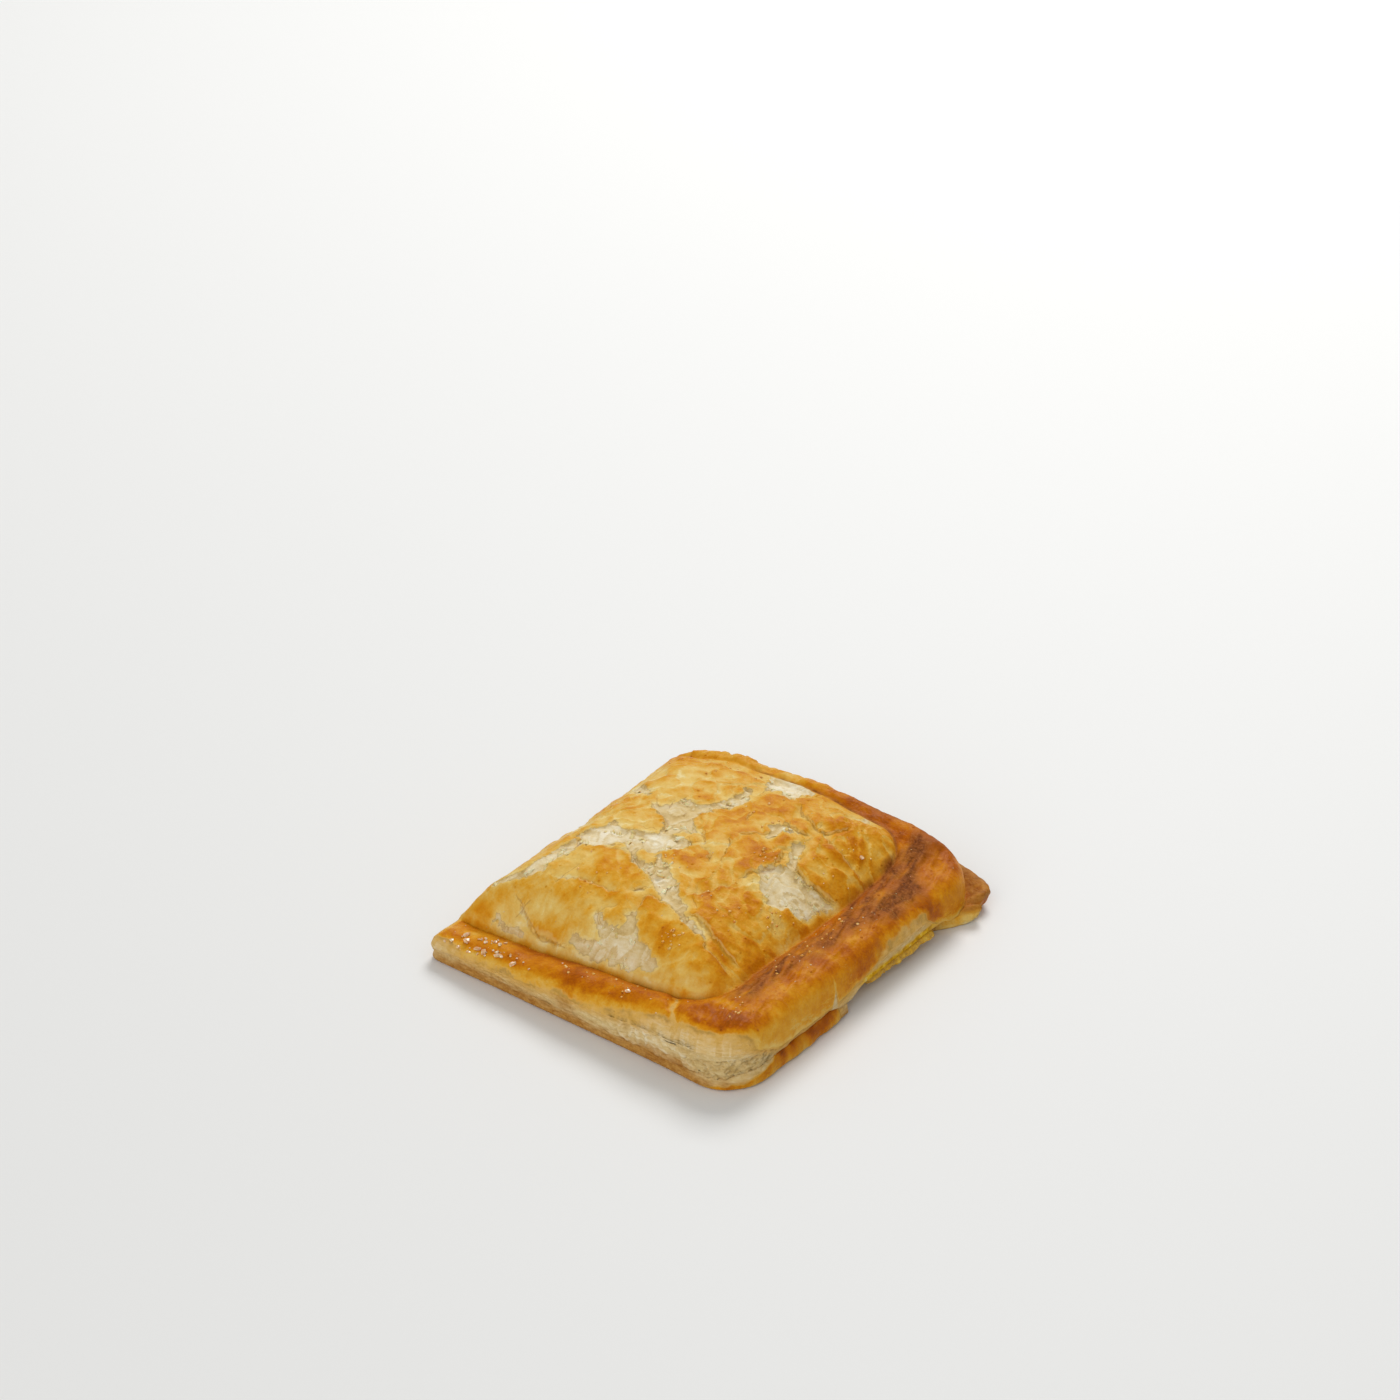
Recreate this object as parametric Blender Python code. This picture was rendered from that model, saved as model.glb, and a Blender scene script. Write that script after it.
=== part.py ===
import bpy
import bmesh
import math
import random
import numpy as np
from mathutils import Matrix, Vector

for thing in list(bpy.data.objects):
    bpy.data.objects.remove(thing, do_unlink=True)

# Beef and onion pie: a square slice of puff pastry, glazed on top, with a raised rim on three sides
# and the fourth side (left, at -X) folded down. +X runs along the front edge, +Y along the right edge.
# The flat underside lies on z = 0. Lengths below are in millimetres and are turned into metres by MM.
MM = 0.001
SEED = 41

# Plan corners of the pastry before rounding: front left, front right, back right, back left
CORNERS = ((-55.5, -58.5), (61.5, -63.5), (58.5, 64.5), (-55.0, 65.5))
CORNER_RADII = (3.0, 14.0, 15.0, 15.0)
CENTRE = (2.0, 1.0)

# Distance from the front, right and back sides to the crease between rim and dome
CREASE = (14.0, 20.0, 9.0)
CREASE_RADIUS = 14.0

# Height of the rim crest at five even stations along each side, front, right, back and left
RIM_CREST = ((8.5, 11.5, 14.5, 17.5, 20.0), (20.0, 18.5, 17.5, 17.0, 16.5),
             (16.5, 23.0, 24.5, 23.5, 19.0), (19.0, 15.0, 13.5, 12.0, 8.5))
RIM_ROLL = 2.4
RIM_EDGE_RATIO = 0.62
RIM_ROUNDING = 6.5

DOME_TOP = 31.5
DOME_RISE = 12.0
FOLD_TOP = 33.0
FOLD_REACH = 36.0

BASE_THICKNESS = 3.4
GAP = 0.3
LIP_RISE = 1.3
CEILING = 9.3
MOUTH_RISE = 2.2
MOUTH_MARGIN = 4.5
SAG = 2.1
MOUTH_Y = (-6.0, 46.0)
# The lid's underside climbs to its ceiling between these two distances in from the outline
RECESS = (6.5, 11.5)

LID_CELLS = 48
BASE_SEGMENTS = 168
FILLING_CELLS = (10, 32)

# Recessed places where the glazed top has torn open:
# centre x, y, half length, half width, turn in degrees, depth
TORN_PATCHES = (
    (28.0, 5.5, 10.0, 6.0, -28.0, 1.1),
    (-6.5, 27.0, 9.0, 2.6, 70.0, 0.9),
    (-14.5, 13.0, 8.0, 3.6, 60.0, 0.9),
    (-12.0, -4.0, 9.5, 4.2, 32.0, 1.1),
    (-25.5, -7.0, 5.0, 3.0, 5.0, 0.8),
    (-1.0, -20.0, 12.0, 2.4, -33.0, 1.0),
    (17.0, -29.0, 12.5, 2.2, -25.0, 1.3),
    (1.0, -38.5, 9.0, 4.0, -20.0, 1.0),
    (14.0, 23.0, 6.5, 2.2, 50.0, 0.9),
    (-4.0, 51.0, 9.0, 5.0, -55.0, 0.8),
)

# Coarse crystals on the glaze: x, y, size
CRYSTALS = ((-45.0, -53.2, 2.6), (-43.0, -55.9, 3.0), (-37.6, -57.3, 2.4), (-34.4, -57.6, 2.6),
            (-29.6, -57.5, 2.6), (-23.4, -57.9, 2.4), (17.8, -56.3, 2.0), (34.4, 35.0, 2.0))


def sideFrame(x, y, start, end):
    ax, ay = CORNERS[start]
    bx, by = CORNERS[end]
    ex, ey = bx - ax, by - ay
    length = math.hypot(ex, ey)
    inward = (-(x - ax) * ey + (y - ay) * ex) / length
    along = ((x - ax) * ex + (y - ay) * ey) / length ** 2
    return inward, along


def roundedMeet(p, q, radius):
    curved = radius - np.hypot(np.maximum(radius - p, 0), np.maximum(radius - q, 0))
    return np.where((p < radius) & (q < radius), curved, np.minimum(p, q))


def sideDistances(x, y):
    return [sideFrame(x, y, k, (k + 1) % 4)[0] for k in range(4)]


def edgeDistance(x, y):
    front, right, back, left = sideDistances(x, y)
    meets = ((left, front), (front, right), (right, back), (back, left))
    result = roundedMeet(*meets[0], CORNER_RADII[0])
    for (p, q), radius in zip(meets[1:], CORNER_RADII[1:]):
        result = np.minimum(result, roundedMeet(p, q, radius))
    return result


def creaseDistance(x, y):
    front, right, back, left = sideDistances(x, y)
    front, right, back = front - CREASE[0], right - CREASE[1], back - CREASE[2]
    return np.minimum(roundedMeet(front, right, CREASE_RADIUS), roundedMeet(right, back, CREASE_RADIUS))


def smoothStep(value, low, high):
    t = np.clip((value - low) / (high - low), 0, 1)
    return t * t * (3 - 2 * t)


def smoothMin(p, q, width):
    return -width * np.log(np.exp(-p / width) + np.exp(-q / width))


def stationValue(t, values):
    t = np.clip(t, 0, 1) * (len(values) - 1)
    k = np.clip(np.floor(t).astype(int), 0, len(values) - 2)
    table = np.asarray(values, float)
    s = smoothStep(t - k, 0, 1)
    return table[k] * (1 - s) + table[k + 1] * s


def crestHeight(x, y):
    total = 0.0
    weights = 0.0
    for k in range(4):
        inward, along = sideFrame(x, y, k, (k + 1) % 4)
        weight = 1 / (np.maximum(inward, 0) + 3.0) ** 3
        total = total + weight * stationValue(along, RIM_CREST[k])
        weights = weights + weight
    return total / weights


def quarterArc(t):
    t = np.clip(t, 0, 1)
    return np.sqrt(1 - (1 - t) ** 2)


def foldHeight(x, y):
    left = sideDistances(x, y)[3]
    low = 8.5 + 4.5 * np.clip((y - 10) / 50, 0, 1)
    return low + (FOLD_TOP - low) * (1 - (1 - np.clip(left / FOLD_REACH, 0, 1)) ** 2)


def softPatch(x, y, patch):
    cx, cy, halfLength, halfWidth, turn, depth = patch
    c, s = math.cos(math.radians(turn)), math.sin(math.radians(turn))
    u = ((x - cx) * c + (y - cy) * s) / halfLength
    v = (-(x - cx) * s + (y - cy) * c) / halfWidth
    return depth * (1 - smoothStep(np.hypot(u, v), 0.75, 1.15))


def unevenness(x, y):
    broad = 0.35 * np.sin(x / 7.3 + 1.1 * np.sin(y / 9.1)) * np.sin(y / 8.2 + 0.7 * np.sin(x / 6.1))
    fine = 0.16 * np.sin(x / 2.9 + y / 4.1) * np.sin(y / 3.1 - x / 5.3)
    return broad + fine


def topHeight(x, y):
    edge = edgeDistance(x, y)
    crease = creaseDistance(x, y)
    left = sideDistances(x, y)[3]
    crest = crestHeight(x, y)
    valley = crest - RIM_ROLL
    fade = np.exp(-np.maximum(crease, 0) / 30)
    valley = np.where(crease > 0, valley * fade + 17.0 * (1 - fade), valley)
    top = DOME_TOP - 2.0 * np.exp(-((x - 45) / 25) ** 2 - ((y + 40) / 25) ** 2)
    dome = valley + (top - valley) * (1 - np.exp(-np.maximum(crease, 0) / DOME_RISE))
    fold = foldHeight(x, y)
    roll = RIM_ROLL * np.sin(math.pi / 2 * np.clip(-crease / 9.0, 0, 1)) ** 1.5
    inner = np.where(crease > 0, smoothMin(dome, fold, 1.5), np.minimum(valley + roll, fold))
    shoulder = edgeHeight(x, y)
    z = shoulder + (inner - shoulder) * quarterArc(edge / RIM_ROUNDING)
    onDome = smoothStep(crease, 0.5, 5.0)
    torn = sum(softPatch(x, y, patch) for patch in TORN_PATCHES)
    return z + smoothStep(edge, 0.5, 6.0) * unevenness(x, y) - onDome * torn


def edgeHeight(x, y):
    left = sideDistances(x, y)[3]
    return np.minimum(RIM_EDGE_RATIO * crestHeight(x, y), foldHeight(x, y) - np.clip(left / 4, 0, 1))


def outlineRadius(angle):
    dx, dy = np.cos(angle), np.sin(angle)
    low = np.zeros_like(angle)
    high = np.full_like(angle, 110.0)
    for _ in range(40):
        middle = (low + high) / 2
        inside = edgeDistance(CENTRE[0] + middle * dx, CENTRE[1] + middle * dy) > 0
        low = np.where(inside, middle, low)
        high = np.where(inside, high, middle)
    return low


def quadPoint(u, v):
    (lx, ly), (fx, fy), (rx, ry), (bx, by) = CORNERS
    p, q = (u + 1) / 2, (v + 1) / 2
    x = (lx * (1 - p) + fx * p) * (1 - q) + (bx * (1 - p) + rx * p) * q
    y = (ly * (1 - p) + fy * p) * (1 - q) + (by * (1 - p) + ry * p) * q
    return x, y


def mouthWindow(x, y, margin=0.0):
    low, high = MOUTH_Y[0] + margin, MOUTH_Y[1] - margin
    along = smoothStep(y, low, low + 7) * (1 - smoothStep(y, high - 5, high + 2))
    return along * smoothStep(x, 38, 46)


def lipWindow(x, y):
    degrees = np.degrees(np.arctan2(y - CENTRE[1], x - CENTRE[0]))
    return smoothStep(degrees, -50, -44) * (1 - smoothStep(degrees, -17, -10))


def inset(x, y):
    angle = np.arctan2(y - CENTRE[1], x - CENTRE[0])
    return outlineRadius(angle) - np.hypot(x - CENTRE[0], y - CENTRE[1])


def lidUnderside(x, y):
    rim = BASE_THICKNESS + GAP + LIP_RISE * lipWindow(x, y) + MOUTH_RISE * mouthWindow(x, y)
    share = np.clip((inset(x, y) - RECESS[0]) / (RECESS[1] - RECESS[0]), 0, 1)
    return rim + (CEILING - rim) * share


def objectFrom(bm, name, material, home):
    bmesh.ops.recalc_face_normals(bm, faces=bm.faces)
    mesh = bpy.data.meshes.new(name)
    bm.to_mesh(mesh)
    bm.free()
    part = bpy.data.objects.new(name, mesh)
    part.data.materials.append(material)
    home.objects.link(part)
    return part


def plainMaterial(name, colour, roughness):
    material = bpy.data.materials.new(name)
    material.use_nodes = True
    shader = material.node_tree.nodes["Principled BSDF"]
    shader.inputs["Base Color"].default_value = (*colour, 1.0)
    shader.inputs["Roughness"].default_value = roughness
    return material


def ringPoints(angles, scale, shift):
    radius = outlineRadius(angles) * scale + shift
    return CENTRE[0] + radius * np.cos(angles), CENTRE[1] + radius * np.sin(angles)


def pushRing(bm, loopEdges, move):
    grown = bmesh.ops.extrude_edge_only(bm, edges=loopEdges)
    verts = [g for g in grown["geom"] if isinstance(g, bmesh.types.BMVert)]
    edges = [g for g in grown["geom"] if isinstance(g, bmesh.types.BMEdge) and len(g.link_faces) == 1]
    for vert in verts:
        vert.co = move(vert.co)
    return edges


def polar(co):
    return np.array([math.atan2(co.y / MM - CENTRE[1], co.x / MM - CENTRE[0])])


def flakyBulge(angle):
    return 0.45 * math.sin(23 * angle) * math.sin(7 * angle + 1) + 0.25 * math.sin(41 * angle + 2)


def buildLid(material, home):
    bm = bmesh.new()
    bmesh.ops.create_grid(bm, x_segments=LID_CELLS, y_segments=LID_CELLS, size=1.0)
    uv = np.array([(v.co.x, v.co.y) for v in bm.verts])
    ring = np.max(np.abs(uv), axis=1)
    safe = np.maximum(ring, 1e-6)
    px, py = quadPoint(uv[:, 0] / safe, uv[:, 1] / safe)
    angle = np.arctan2(py - CENTRE[1], px - CENTRE[0])
    radius = outlineRadius(angle) * ring
    x = CENTRE[0] + radius * np.cos(angle)
    y = CENTRE[1] + radius * np.sin(angle)
    z = topHeight(x, y)
    for vert, vx, vy, vz in zip(bm.verts, x, y, z):
        vert.co = (vx * MM, vy * MM, vz * MM)
    edges = [e for e in bm.edges if len(e.link_faces) == 1]

    def wallRing(level, swell):
        def move(co):
            a = polar(co)
            rx, ry = ringPoints(a, 1.0, 0.0)
            high, low = edgeHeight(rx, ry)[0], lidUnderside(rx, ry)[0]
            shift = swell * min(1.0, (high - low) / 6.0) + flakyBulge(a[0]) * 4 * level * (1 - level)
            wx, wy = ringPoints(a, 1.0, shift)
            return Vector((wx[0] * MM, wy[0] * MM, (low + (high - low) * level) * MM))
        return move

    def underRing(shift):
        def move(co):
            a = polar(co)
            ux, uy = ringPoints(a, 1.0, -shift)
            return Vector((ux[0] * MM, uy[0] * MM, lidUnderside(ux, uy)[0] * MM))
        return move

    for level, swell in ((0.72, 0.7), (0.38, 0.5), (0.0, -0.5)):
        edges = pushRing(bm, edges, wallRing(level, swell))
    for shift in (RECESS[0], RECESS[1], RECESS[1] + 2.5):
        edges = pushRing(bm, edges, underRing(shift))
    bmesh.ops.edgeloop_fill(bm, edges=edges)
    return objectFrom(bm, "pastry_lid", material, home)


def addCrystals(lid, cutters):
    rng = random.Random(SEED)
    for index, (x, y, size) in enumerate(CRYSTALS):
        bm = bmesh.new()
        bmesh.ops.create_icosphere(bm, subdivisions=1, radius=0.5)
        for vert in bm.verts:
            vert.co *= rng.uniform(0.85, 1.1)
        turn = Matrix.Rotation(rng.uniform(0, math.pi), 4, "Z") @ Matrix.Rotation(rng.uniform(-0.4, 0.4), 4, "X")
        bmesh.ops.transform(bm, matrix=turn @ Matrix.Diagonal((size, size * 0.75, size * 0.7, 1)), verts=bm.verts)
        z = topHeight(np.array([x]), np.array([y]))[0] + 0.12 * size
        bmesh.ops.transform(bm, matrix=Matrix.Translation((x, y, z)), verts=bm.verts)
        bmesh.ops.scale(bm, vec=(MM, MM, MM), verts=bm.verts)
        objectFrom(bm, f"crystal_{index}", lid.data.materials[0], cutters)
    union = lid.modifiers.new("fuse crystals", "BOOLEAN")
    union.operation = "UNION"
    union.operand_type = "COLLECTION"
    union.collection = cutters
    union.solver = "MANIFOLD"
    bpy.context.view_layer.update()
    fused = bpy.data.meshes.new_from_object(lid.evaluated_get(bpy.context.evaluated_depsgraph_get()))
    lid.modifiers.clear()
    lid.data = fused
    lid.data.name = lid.name
    for crystal in list(cutters.objects):
        bpy.data.objects.remove(crystal, do_unlink=True)


# How far the bottom sheet reaches past the lid outline, by direction from the centre in degrees
REACH_ANGLES = (-180.0, -60.0, -47.0, -40.0, -14.0, -9.0, -5.0, 38.0, 40.5, 42.5,
                44.5, 48.0, 54.0, 60.0, 65.0, 70.0, 180.0)
REACH_AMOUNTS = (-0.6, -0.4, 0.6, 1.4, 1.4, 0.6, -6.5, -6.5, 0.5, 6.0, 4.0, 8.0, 8.0, 9.0, 2.0, -0.6, -0.6)


def baseReach(angle):
    return np.interp(np.degrees(angle), REACH_ANGLES, REACH_AMOUNTS)


def flapLift(angle):
    return smoothStep(baseReach(angle), 3.0, 6.5)


def buildBase(material, home):
    bm = bmesh.new()
    bmesh.ops.create_circle(bm, cap_ends=True, segments=BASE_SEGMENTS, radius=MM)
    order = list(bm.verts)
    angles = [2 * math.pi * k / BASE_SEGMENTS - math.pi for k in range(BASE_SEGMENTS)]
    order.sort(key=lambda v: math.atan2(v.co.y, v.co.x))

    def place(a, inset, z):
        angle = np.array([a])
        shift = float(baseReach(angle)[0]) - inset
        x, y = ringPoints(angle, 1.0, shift)
        return Vector((x[0] * MM, y[0] * MM, z * MM))

    for vert, a in zip(order, angles):
        vert.co = place(a, 2.2 + 9.5 * float(flapLift(np.array([a]))[0]), 0.0)
    edges = [e for e in bm.edges if len(e.link_faces) == 1]

    def ring(inset, lowZ, highZ, lipShare):
        def move(co):
            a = polar(co)
            x, y = ringPoints(a, 1.0, 0.0)
            lift = float(flapLift(a)[0])
            lip = LIP_RISE * float(lipWindow(x, y)[0]) * lipShare
            crinkle = 0.25 * math.sin(31 * a[0]) + 0.2 * math.sin(17 * a[0] + 1)
            z = lowZ + lip + lift * (highZ - lowZ)
            return place(a[0], inset + crinkle * (1 if inset < 1.5 else 0), z)
        return move

    # Height of each ring on plain edge and on the raised flap, from under the edge to the top face
    for inset, lowZ, highZ, lipShare in ((0.5, 0.7, 3.6, 0.0), (0.0, 1.9, 5.0, 0.5), (0.7, 3.1, 6.2, 0.9),
                                         (2.0, 3.4, 6.2, 1.0)):
        edges = pushRing(bm, edges, ring(inset, lowZ, highZ, lipShare))

    def innerRing(co):
        a = polar(co)
        return place(a[0], float(baseReach(a)[0]) + 13.0, BASE_THICKNESS)

    def footRing(co):
        a = polar(co)
        x, y = ringPoints(a, 1.0, 1.2)
        lip = LIP_RISE * float(lipWindow(x, y)[0])
        return place(a[0], float(max(baseReach(a)[0], 0.0)) + 2.8, BASE_THICKNESS + lip)

    def neckRing(co):
        a = polar(co)
        x, y = ringPoints(a, 1.0, 1.2)
        lip = LIP_RISE * float(lipWindow(x, y)[0])
        return place(a[0], max(2.4, float(baseReach(a)[0]) - 1.2), BASE_THICKNESS + lip)

    edges = pushRing(bm, edges, neckRing)
    edges = pushRing(bm, edges, footRing)
    edges = pushRing(bm, edges, innerRing)
    bmesh.ops.edgeloop_fill(bm, edges=edges)
    return objectFrom(bm, "pastry_base", material, home)


def buildFilling(material, home):
    bm = bmesh.new()
    bmesh.ops.create_grid(bm, x_segments=FILLING_CELLS[0], y_segments=FILLING_CELLS[1], size=1.0)
    top = list(bm.verts)
    grown = bmesh.ops.extrude_face_region(bm, geom=list(bm.faces))
    under = [g for g in grown["geom"] if isinstance(g, bmesh.types.BMVert)]

    def plan(u, v):
        y = 1.5 + 44.0 * v
        leftX = -40.0 - 2.0 * (1 - v * v)
        open_ = float(mouthWindow(np.array([60.0]), np.array([y]), MOUTH_MARGIN)[0])
        ragged = 0.5 * math.sin(y * 1.3) + 0.4 * math.sin(y * 0.71 + 1)
        rightX = 45.0 + open_ * (14.2 + ragged)
        reach = (u + 1) / 2
        if reach < 0.55:
            return leftX + (44.0 - leftX) * reach / 0.6, y, open_
        return 44.0 + (rightX - 44.0) * (reach - 0.6) / 0.4, y, open_

    for vert in top:
        u, v = vert.co.x, vert.co.y
        x, y, open_ = plan(u, v)
        depth = inset(np.array([x]), np.array([y]))[0]
        share = min(1.0, max(0.0, (depth - RECESS[0] - 2.1) / (RECESS[1] - RECESS[0])))
        mouthZ = BASE_THICKNESS + (MOUTH_RISE - 0.2) * open_
        rim = 0.6 if max(abs(u), abs(v)) > 0.999 else 0.0
        z = mouthZ + (CEILING - GAP - mouthZ) * share - rim
        vert.co = (x * MM, y * MM, z * MM)
    for vert in under:
        u, v = vert.co.x, vert.co.y
        x, y, open_ = plan(u, v)
        z = BASE_THICKNESS + GAP
        if u > 0.999:
            x -= 0.4 * open_
            z -= SAG * float(smoothStep(open_, 0.88, 1.0))
        vert.co = (x * MM, y * MM, z * MM)
    return objectFrom(bm, "filling", material, home)


pieHome = bpy.data.collections.new("beef_and_onion_pie")
cutterHome = bpy.data.collections.new("cutters")
bpy.context.scene.collection.children.link(pieHome)
bpy.context.scene.collection.children.link(cutterHome)
cutterHome.hide_render = True

glazedCrust = plainMaterial("glazed_crust", (0.62, 0.36, 0.09), 0.45)
baseCrust = plainMaterial("base_crust", (0.28, 0.13, 0.04), 0.6)
fillingMix = plainMaterial("filling", (0.52, 0.31, 0.04), 0.5)

lidPart = buildLid(glazedCrust, pieHome)
addCrystals(lidPart, cutterHome)
basePart = buildBase(baseCrust, pieHome)
fillingPart = buildFilling(fillingMix, pieHome)

for part in pieHome.objects:
    part.data.calc_loop_triangles()
    print(part.name, len(part.data.loop_triangles), "triangles")
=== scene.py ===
import bpy
import bmesh
import math
import random
from functools import partial
import numpy as np
from mathutils import Matrix, Vector


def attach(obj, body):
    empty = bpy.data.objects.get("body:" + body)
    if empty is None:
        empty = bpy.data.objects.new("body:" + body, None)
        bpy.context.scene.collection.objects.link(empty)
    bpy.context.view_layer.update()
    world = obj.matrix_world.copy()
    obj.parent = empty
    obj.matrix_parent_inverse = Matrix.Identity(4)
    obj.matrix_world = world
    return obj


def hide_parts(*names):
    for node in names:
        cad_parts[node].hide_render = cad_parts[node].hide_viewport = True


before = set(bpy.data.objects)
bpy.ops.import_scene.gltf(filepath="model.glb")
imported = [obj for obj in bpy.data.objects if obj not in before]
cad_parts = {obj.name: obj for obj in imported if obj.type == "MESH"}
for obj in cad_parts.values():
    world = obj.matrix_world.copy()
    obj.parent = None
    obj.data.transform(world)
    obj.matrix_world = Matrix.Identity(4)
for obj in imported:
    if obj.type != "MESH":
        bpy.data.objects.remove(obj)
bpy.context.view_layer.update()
mm = 0.001
far = 1000.0  # farther than any distance on the pie, in millimetres
tiny = 1e-9
fullTurn = 6.3  # a little over a whole turn, for random turns

# The pastry's own sizes in millimetres, the same as in the solids
pastry = {
    # front left, front right, back right, back left
    "corners": ((-55.5, -58.5), (61.5, -63.5), (58.5, 64.5), (-55.0, 65.5)),
    "cornerRadii": (3.0, 14.0, 15.0, 15.0),
    "centre": (2.0, 1.0),
    "crease": (14.0, 20.0, 9.0),  # from the front, right and back sides
    "creaseRadius": 14.0,
    "rimCrest": ((8.5, 11.5, 14.5, 17.5, 20.0), (20.0, 18.5, 17.5, 17.0, 16.5),
                 (16.5, 23.0, 24.5, 23.5, 19.0), (19.0, 15.0, 13.5, 12.0, 8.5)),
    "rimRoll": 2.4,
    "rimEdgeRatio": 0.62,
    "rimRounding": 6.5,
    "domeTop": 31.5,
    "domeRise": 12.0,
    "foldTop": 33.0,
    "foldReach": 36.0,
    "baseThickness": 3.4,
    "gap": 0.3,
    "lipRise": 1.3,
    "ceiling": 9.3,
    "mouthRise": 2.2,
    "mouthY": (-6.0, 46.0),
    "recess": (6.5, 11.5),
}


def sideFrame(x, y, start, end):
    ax, ay = pastry["corners"][start]
    bx, by = pastry["corners"][end]
    ex, ey = bx - ax, by - ay
    length = math.hypot(ex, ey)
    return (-(x - ax) * ey + (y - ay) * ex) / length, ((x - ax) * ex + (y - ay) * ey) / length ** 2


def roundedMeet(p, q, radius):
    curved = radius - np.hypot(np.maximum(radius - p, 0), np.maximum(radius - q, 0))
    return np.where((p < radius) & (q < radius), curved, np.minimum(p, q))


def sideDistances(x, y):
    return [sideFrame(x, y, k, (k + 1) % 4)[0] for k in range(4)]


def edgeDistance(x, y):
    front, right, back, left = sideDistances(x, y)
    radii = pastry["cornerRadii"]
    result = roundedMeet(left, front, radii[0])
    for p, q, radius in ((front, right, radii[1]), (right, back, radii[2]), (back, left, radii[3])):
        result = np.minimum(result, roundedMeet(p, q, radius))
    return result


def creaseDistance(x, y):
    front, right, back, _ = sideDistances(x, y)
    cf, cr, cb = pastry["crease"]
    radius = pastry["creaseRadius"]
    return np.minimum(roundedMeet(front - cf, right - cr, radius), roundedMeet(right - cr, back - cb, radius))


def smoothStep(value, low, high):
    t = np.clip((value - low) / (high - low), 0, 1)
    return t * t * (3 - 2 * t)


def window(value, riseFrom, riseTo, fallFrom, fallTo):
    return smoothStep(value, riseFrom, riseTo) * (1 - smoothStep(value, fallFrom, fallTo))


def bump(value, middle, reach):
    return np.exp(-((value - middle) / reach) ** 2)


def spot(x, y, middleX, middleY, reachX, reachY):
    return np.exp(-((x - middleX) / reachX) ** 2 - ((y - middleY) / reachY) ** 2)


def spotSum(x, y, table):
    # the table's rows: x, y, reach along x and y, amount
    total = np.zeros_like(x)
    for middleX, middleY, reachX, reachY, amount in table:
        total = total + amount * spot(x, y, middleX, middleY, reachX, reachY)
    return total


def smoothMin(p, q, width):
    return -width * np.log(np.exp(-p / width) + np.exp(-q / width))


def stationValue(t, values):
    t = np.clip(t, 0, 1) * (len(values) - 1)
    k = np.clip(np.floor(t).astype(int), 0, len(values) - 2)
    table = np.asarray(values, float)
    s = smoothStep(t - k, 0, 1)
    return table[k] * (1 - s) + table[k + 1] * s


def crestHeight(x, y):
    total = 0.0
    weights = 0.0
    for k in range(4):
        inward, along = sideFrame(x, y, k, (k + 1) % 4)
        weight = 1 / (np.maximum(inward, 0) + 3.0) ** 3
        total = total + weight * stationValue(along, pastry["rimCrest"][k])
        weights = weights + weight
    return total / weights


def quarterArc(t):
    t = np.clip(t, 0, 1)
    return np.sqrt(1 - (1 - t) ** 2)


def foldHeight(x, y):
    left = sideDistances(x, y)[3]
    low = 8.5 + 4.5 * np.clip((y - 10) / 50, 0, 1)
    return low + (pastry["foldTop"] - low) * (1 - (1 - np.clip(left / pastry["foldReach"], 0, 1)) ** 2)


def unevenness(x, y):
    broad = 0.35 * np.sin(x / 7.3 + 1.1 * np.sin(y / 9.1)) * np.sin(y / 8.2 + 0.7 * np.sin(x / 6.1))
    return broad + 0.16 * np.sin(x / 2.9 + y / 4.1) * np.sin(y / 3.1 - x / 5.3)


def edgeHeight(x, y):
    left = sideDistances(x, y)[3]
    return np.minimum(pastry["rimEdgeRatio"] * crestHeight(x, y), foldHeight(x, y) - np.clip(left / 4, 0, 1))


def plainHeight(x, y):
    edge = edgeDistance(x, y)
    crease = creaseDistance(x, y)
    crest = crestHeight(x, y)
    valley = crest - pastry["rimRoll"]
    fade = np.exp(-np.maximum(crease, 0) / 30)
    valley = np.where(crease > 0, valley * fade + 17.0 * (1 - fade), valley)
    top = pastry["domeTop"] - 2.0 * np.exp(-((x - 45) / 25) ** 2 - ((y + 40) / 25) ** 2)
    dome = valley + (top - valley) * (1 - np.exp(-np.maximum(crease, 0) / pastry["domeRise"]))
    fold = foldHeight(x, y)
    roll = pastry["rimRoll"] * np.sin(math.pi / 2 * np.clip(-crease / 9.0, 0, 1)) ** 1.5
    inner = np.where(crease > 0, smoothMin(dome, fold, 1.5), np.minimum(valley + roll, fold))
    shoulder = edgeHeight(x, y)
    z = shoulder + (inner - shoulder) * quarterArc(edge / pastry["rimRounding"])
    return z + smoothStep(edge, 0.5, 6.0) * unevenness(x, y)


def polar(angle, radius):
    cx, cy = pastry["centre"]
    return cx + radius * np.cos(angle), cy + radius * np.sin(angle)


def direction(x, y):
    return np.arctan2(y - pastry["centre"][1], x - pastry["centre"][0])


def outlineRadius(angle):
    low = np.zeros_like(angle)
    high = np.full_like(angle, 110.0)
    for _ in range(30):
        middle = (low + high) / 2
        inside = edgeDistance(*polar(angle, middle)) > 0
        low = np.where(inside, middle, low)
        high = np.where(inside, high, middle)
    return low


def outlinePoint(angle):
    return polar(angle, outlineRadius(angle))


def depthInside(x, y):
    # distance in from the outline along the ray from the centre
    cx, cy = pastry["centre"]
    return outlineRadius(direction(x, y)) - np.hypot(x - cx, y - cy)


def quadPoint(u, v):
    (lx, ly), (fx, fy), (rx, ry), (bx, by) = pastry["corners"]
    p, q = (u + 1) / 2, (v + 1) / 2
    x = (lx * (1 - p) + fx * p) * (1 - q) + (bx * (1 - p) + rx * p) * q
    y = (ly * (1 - p) + fy * p) * (1 - q) + (by * (1 - p) + ry * p) * q
    return x, y


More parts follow.
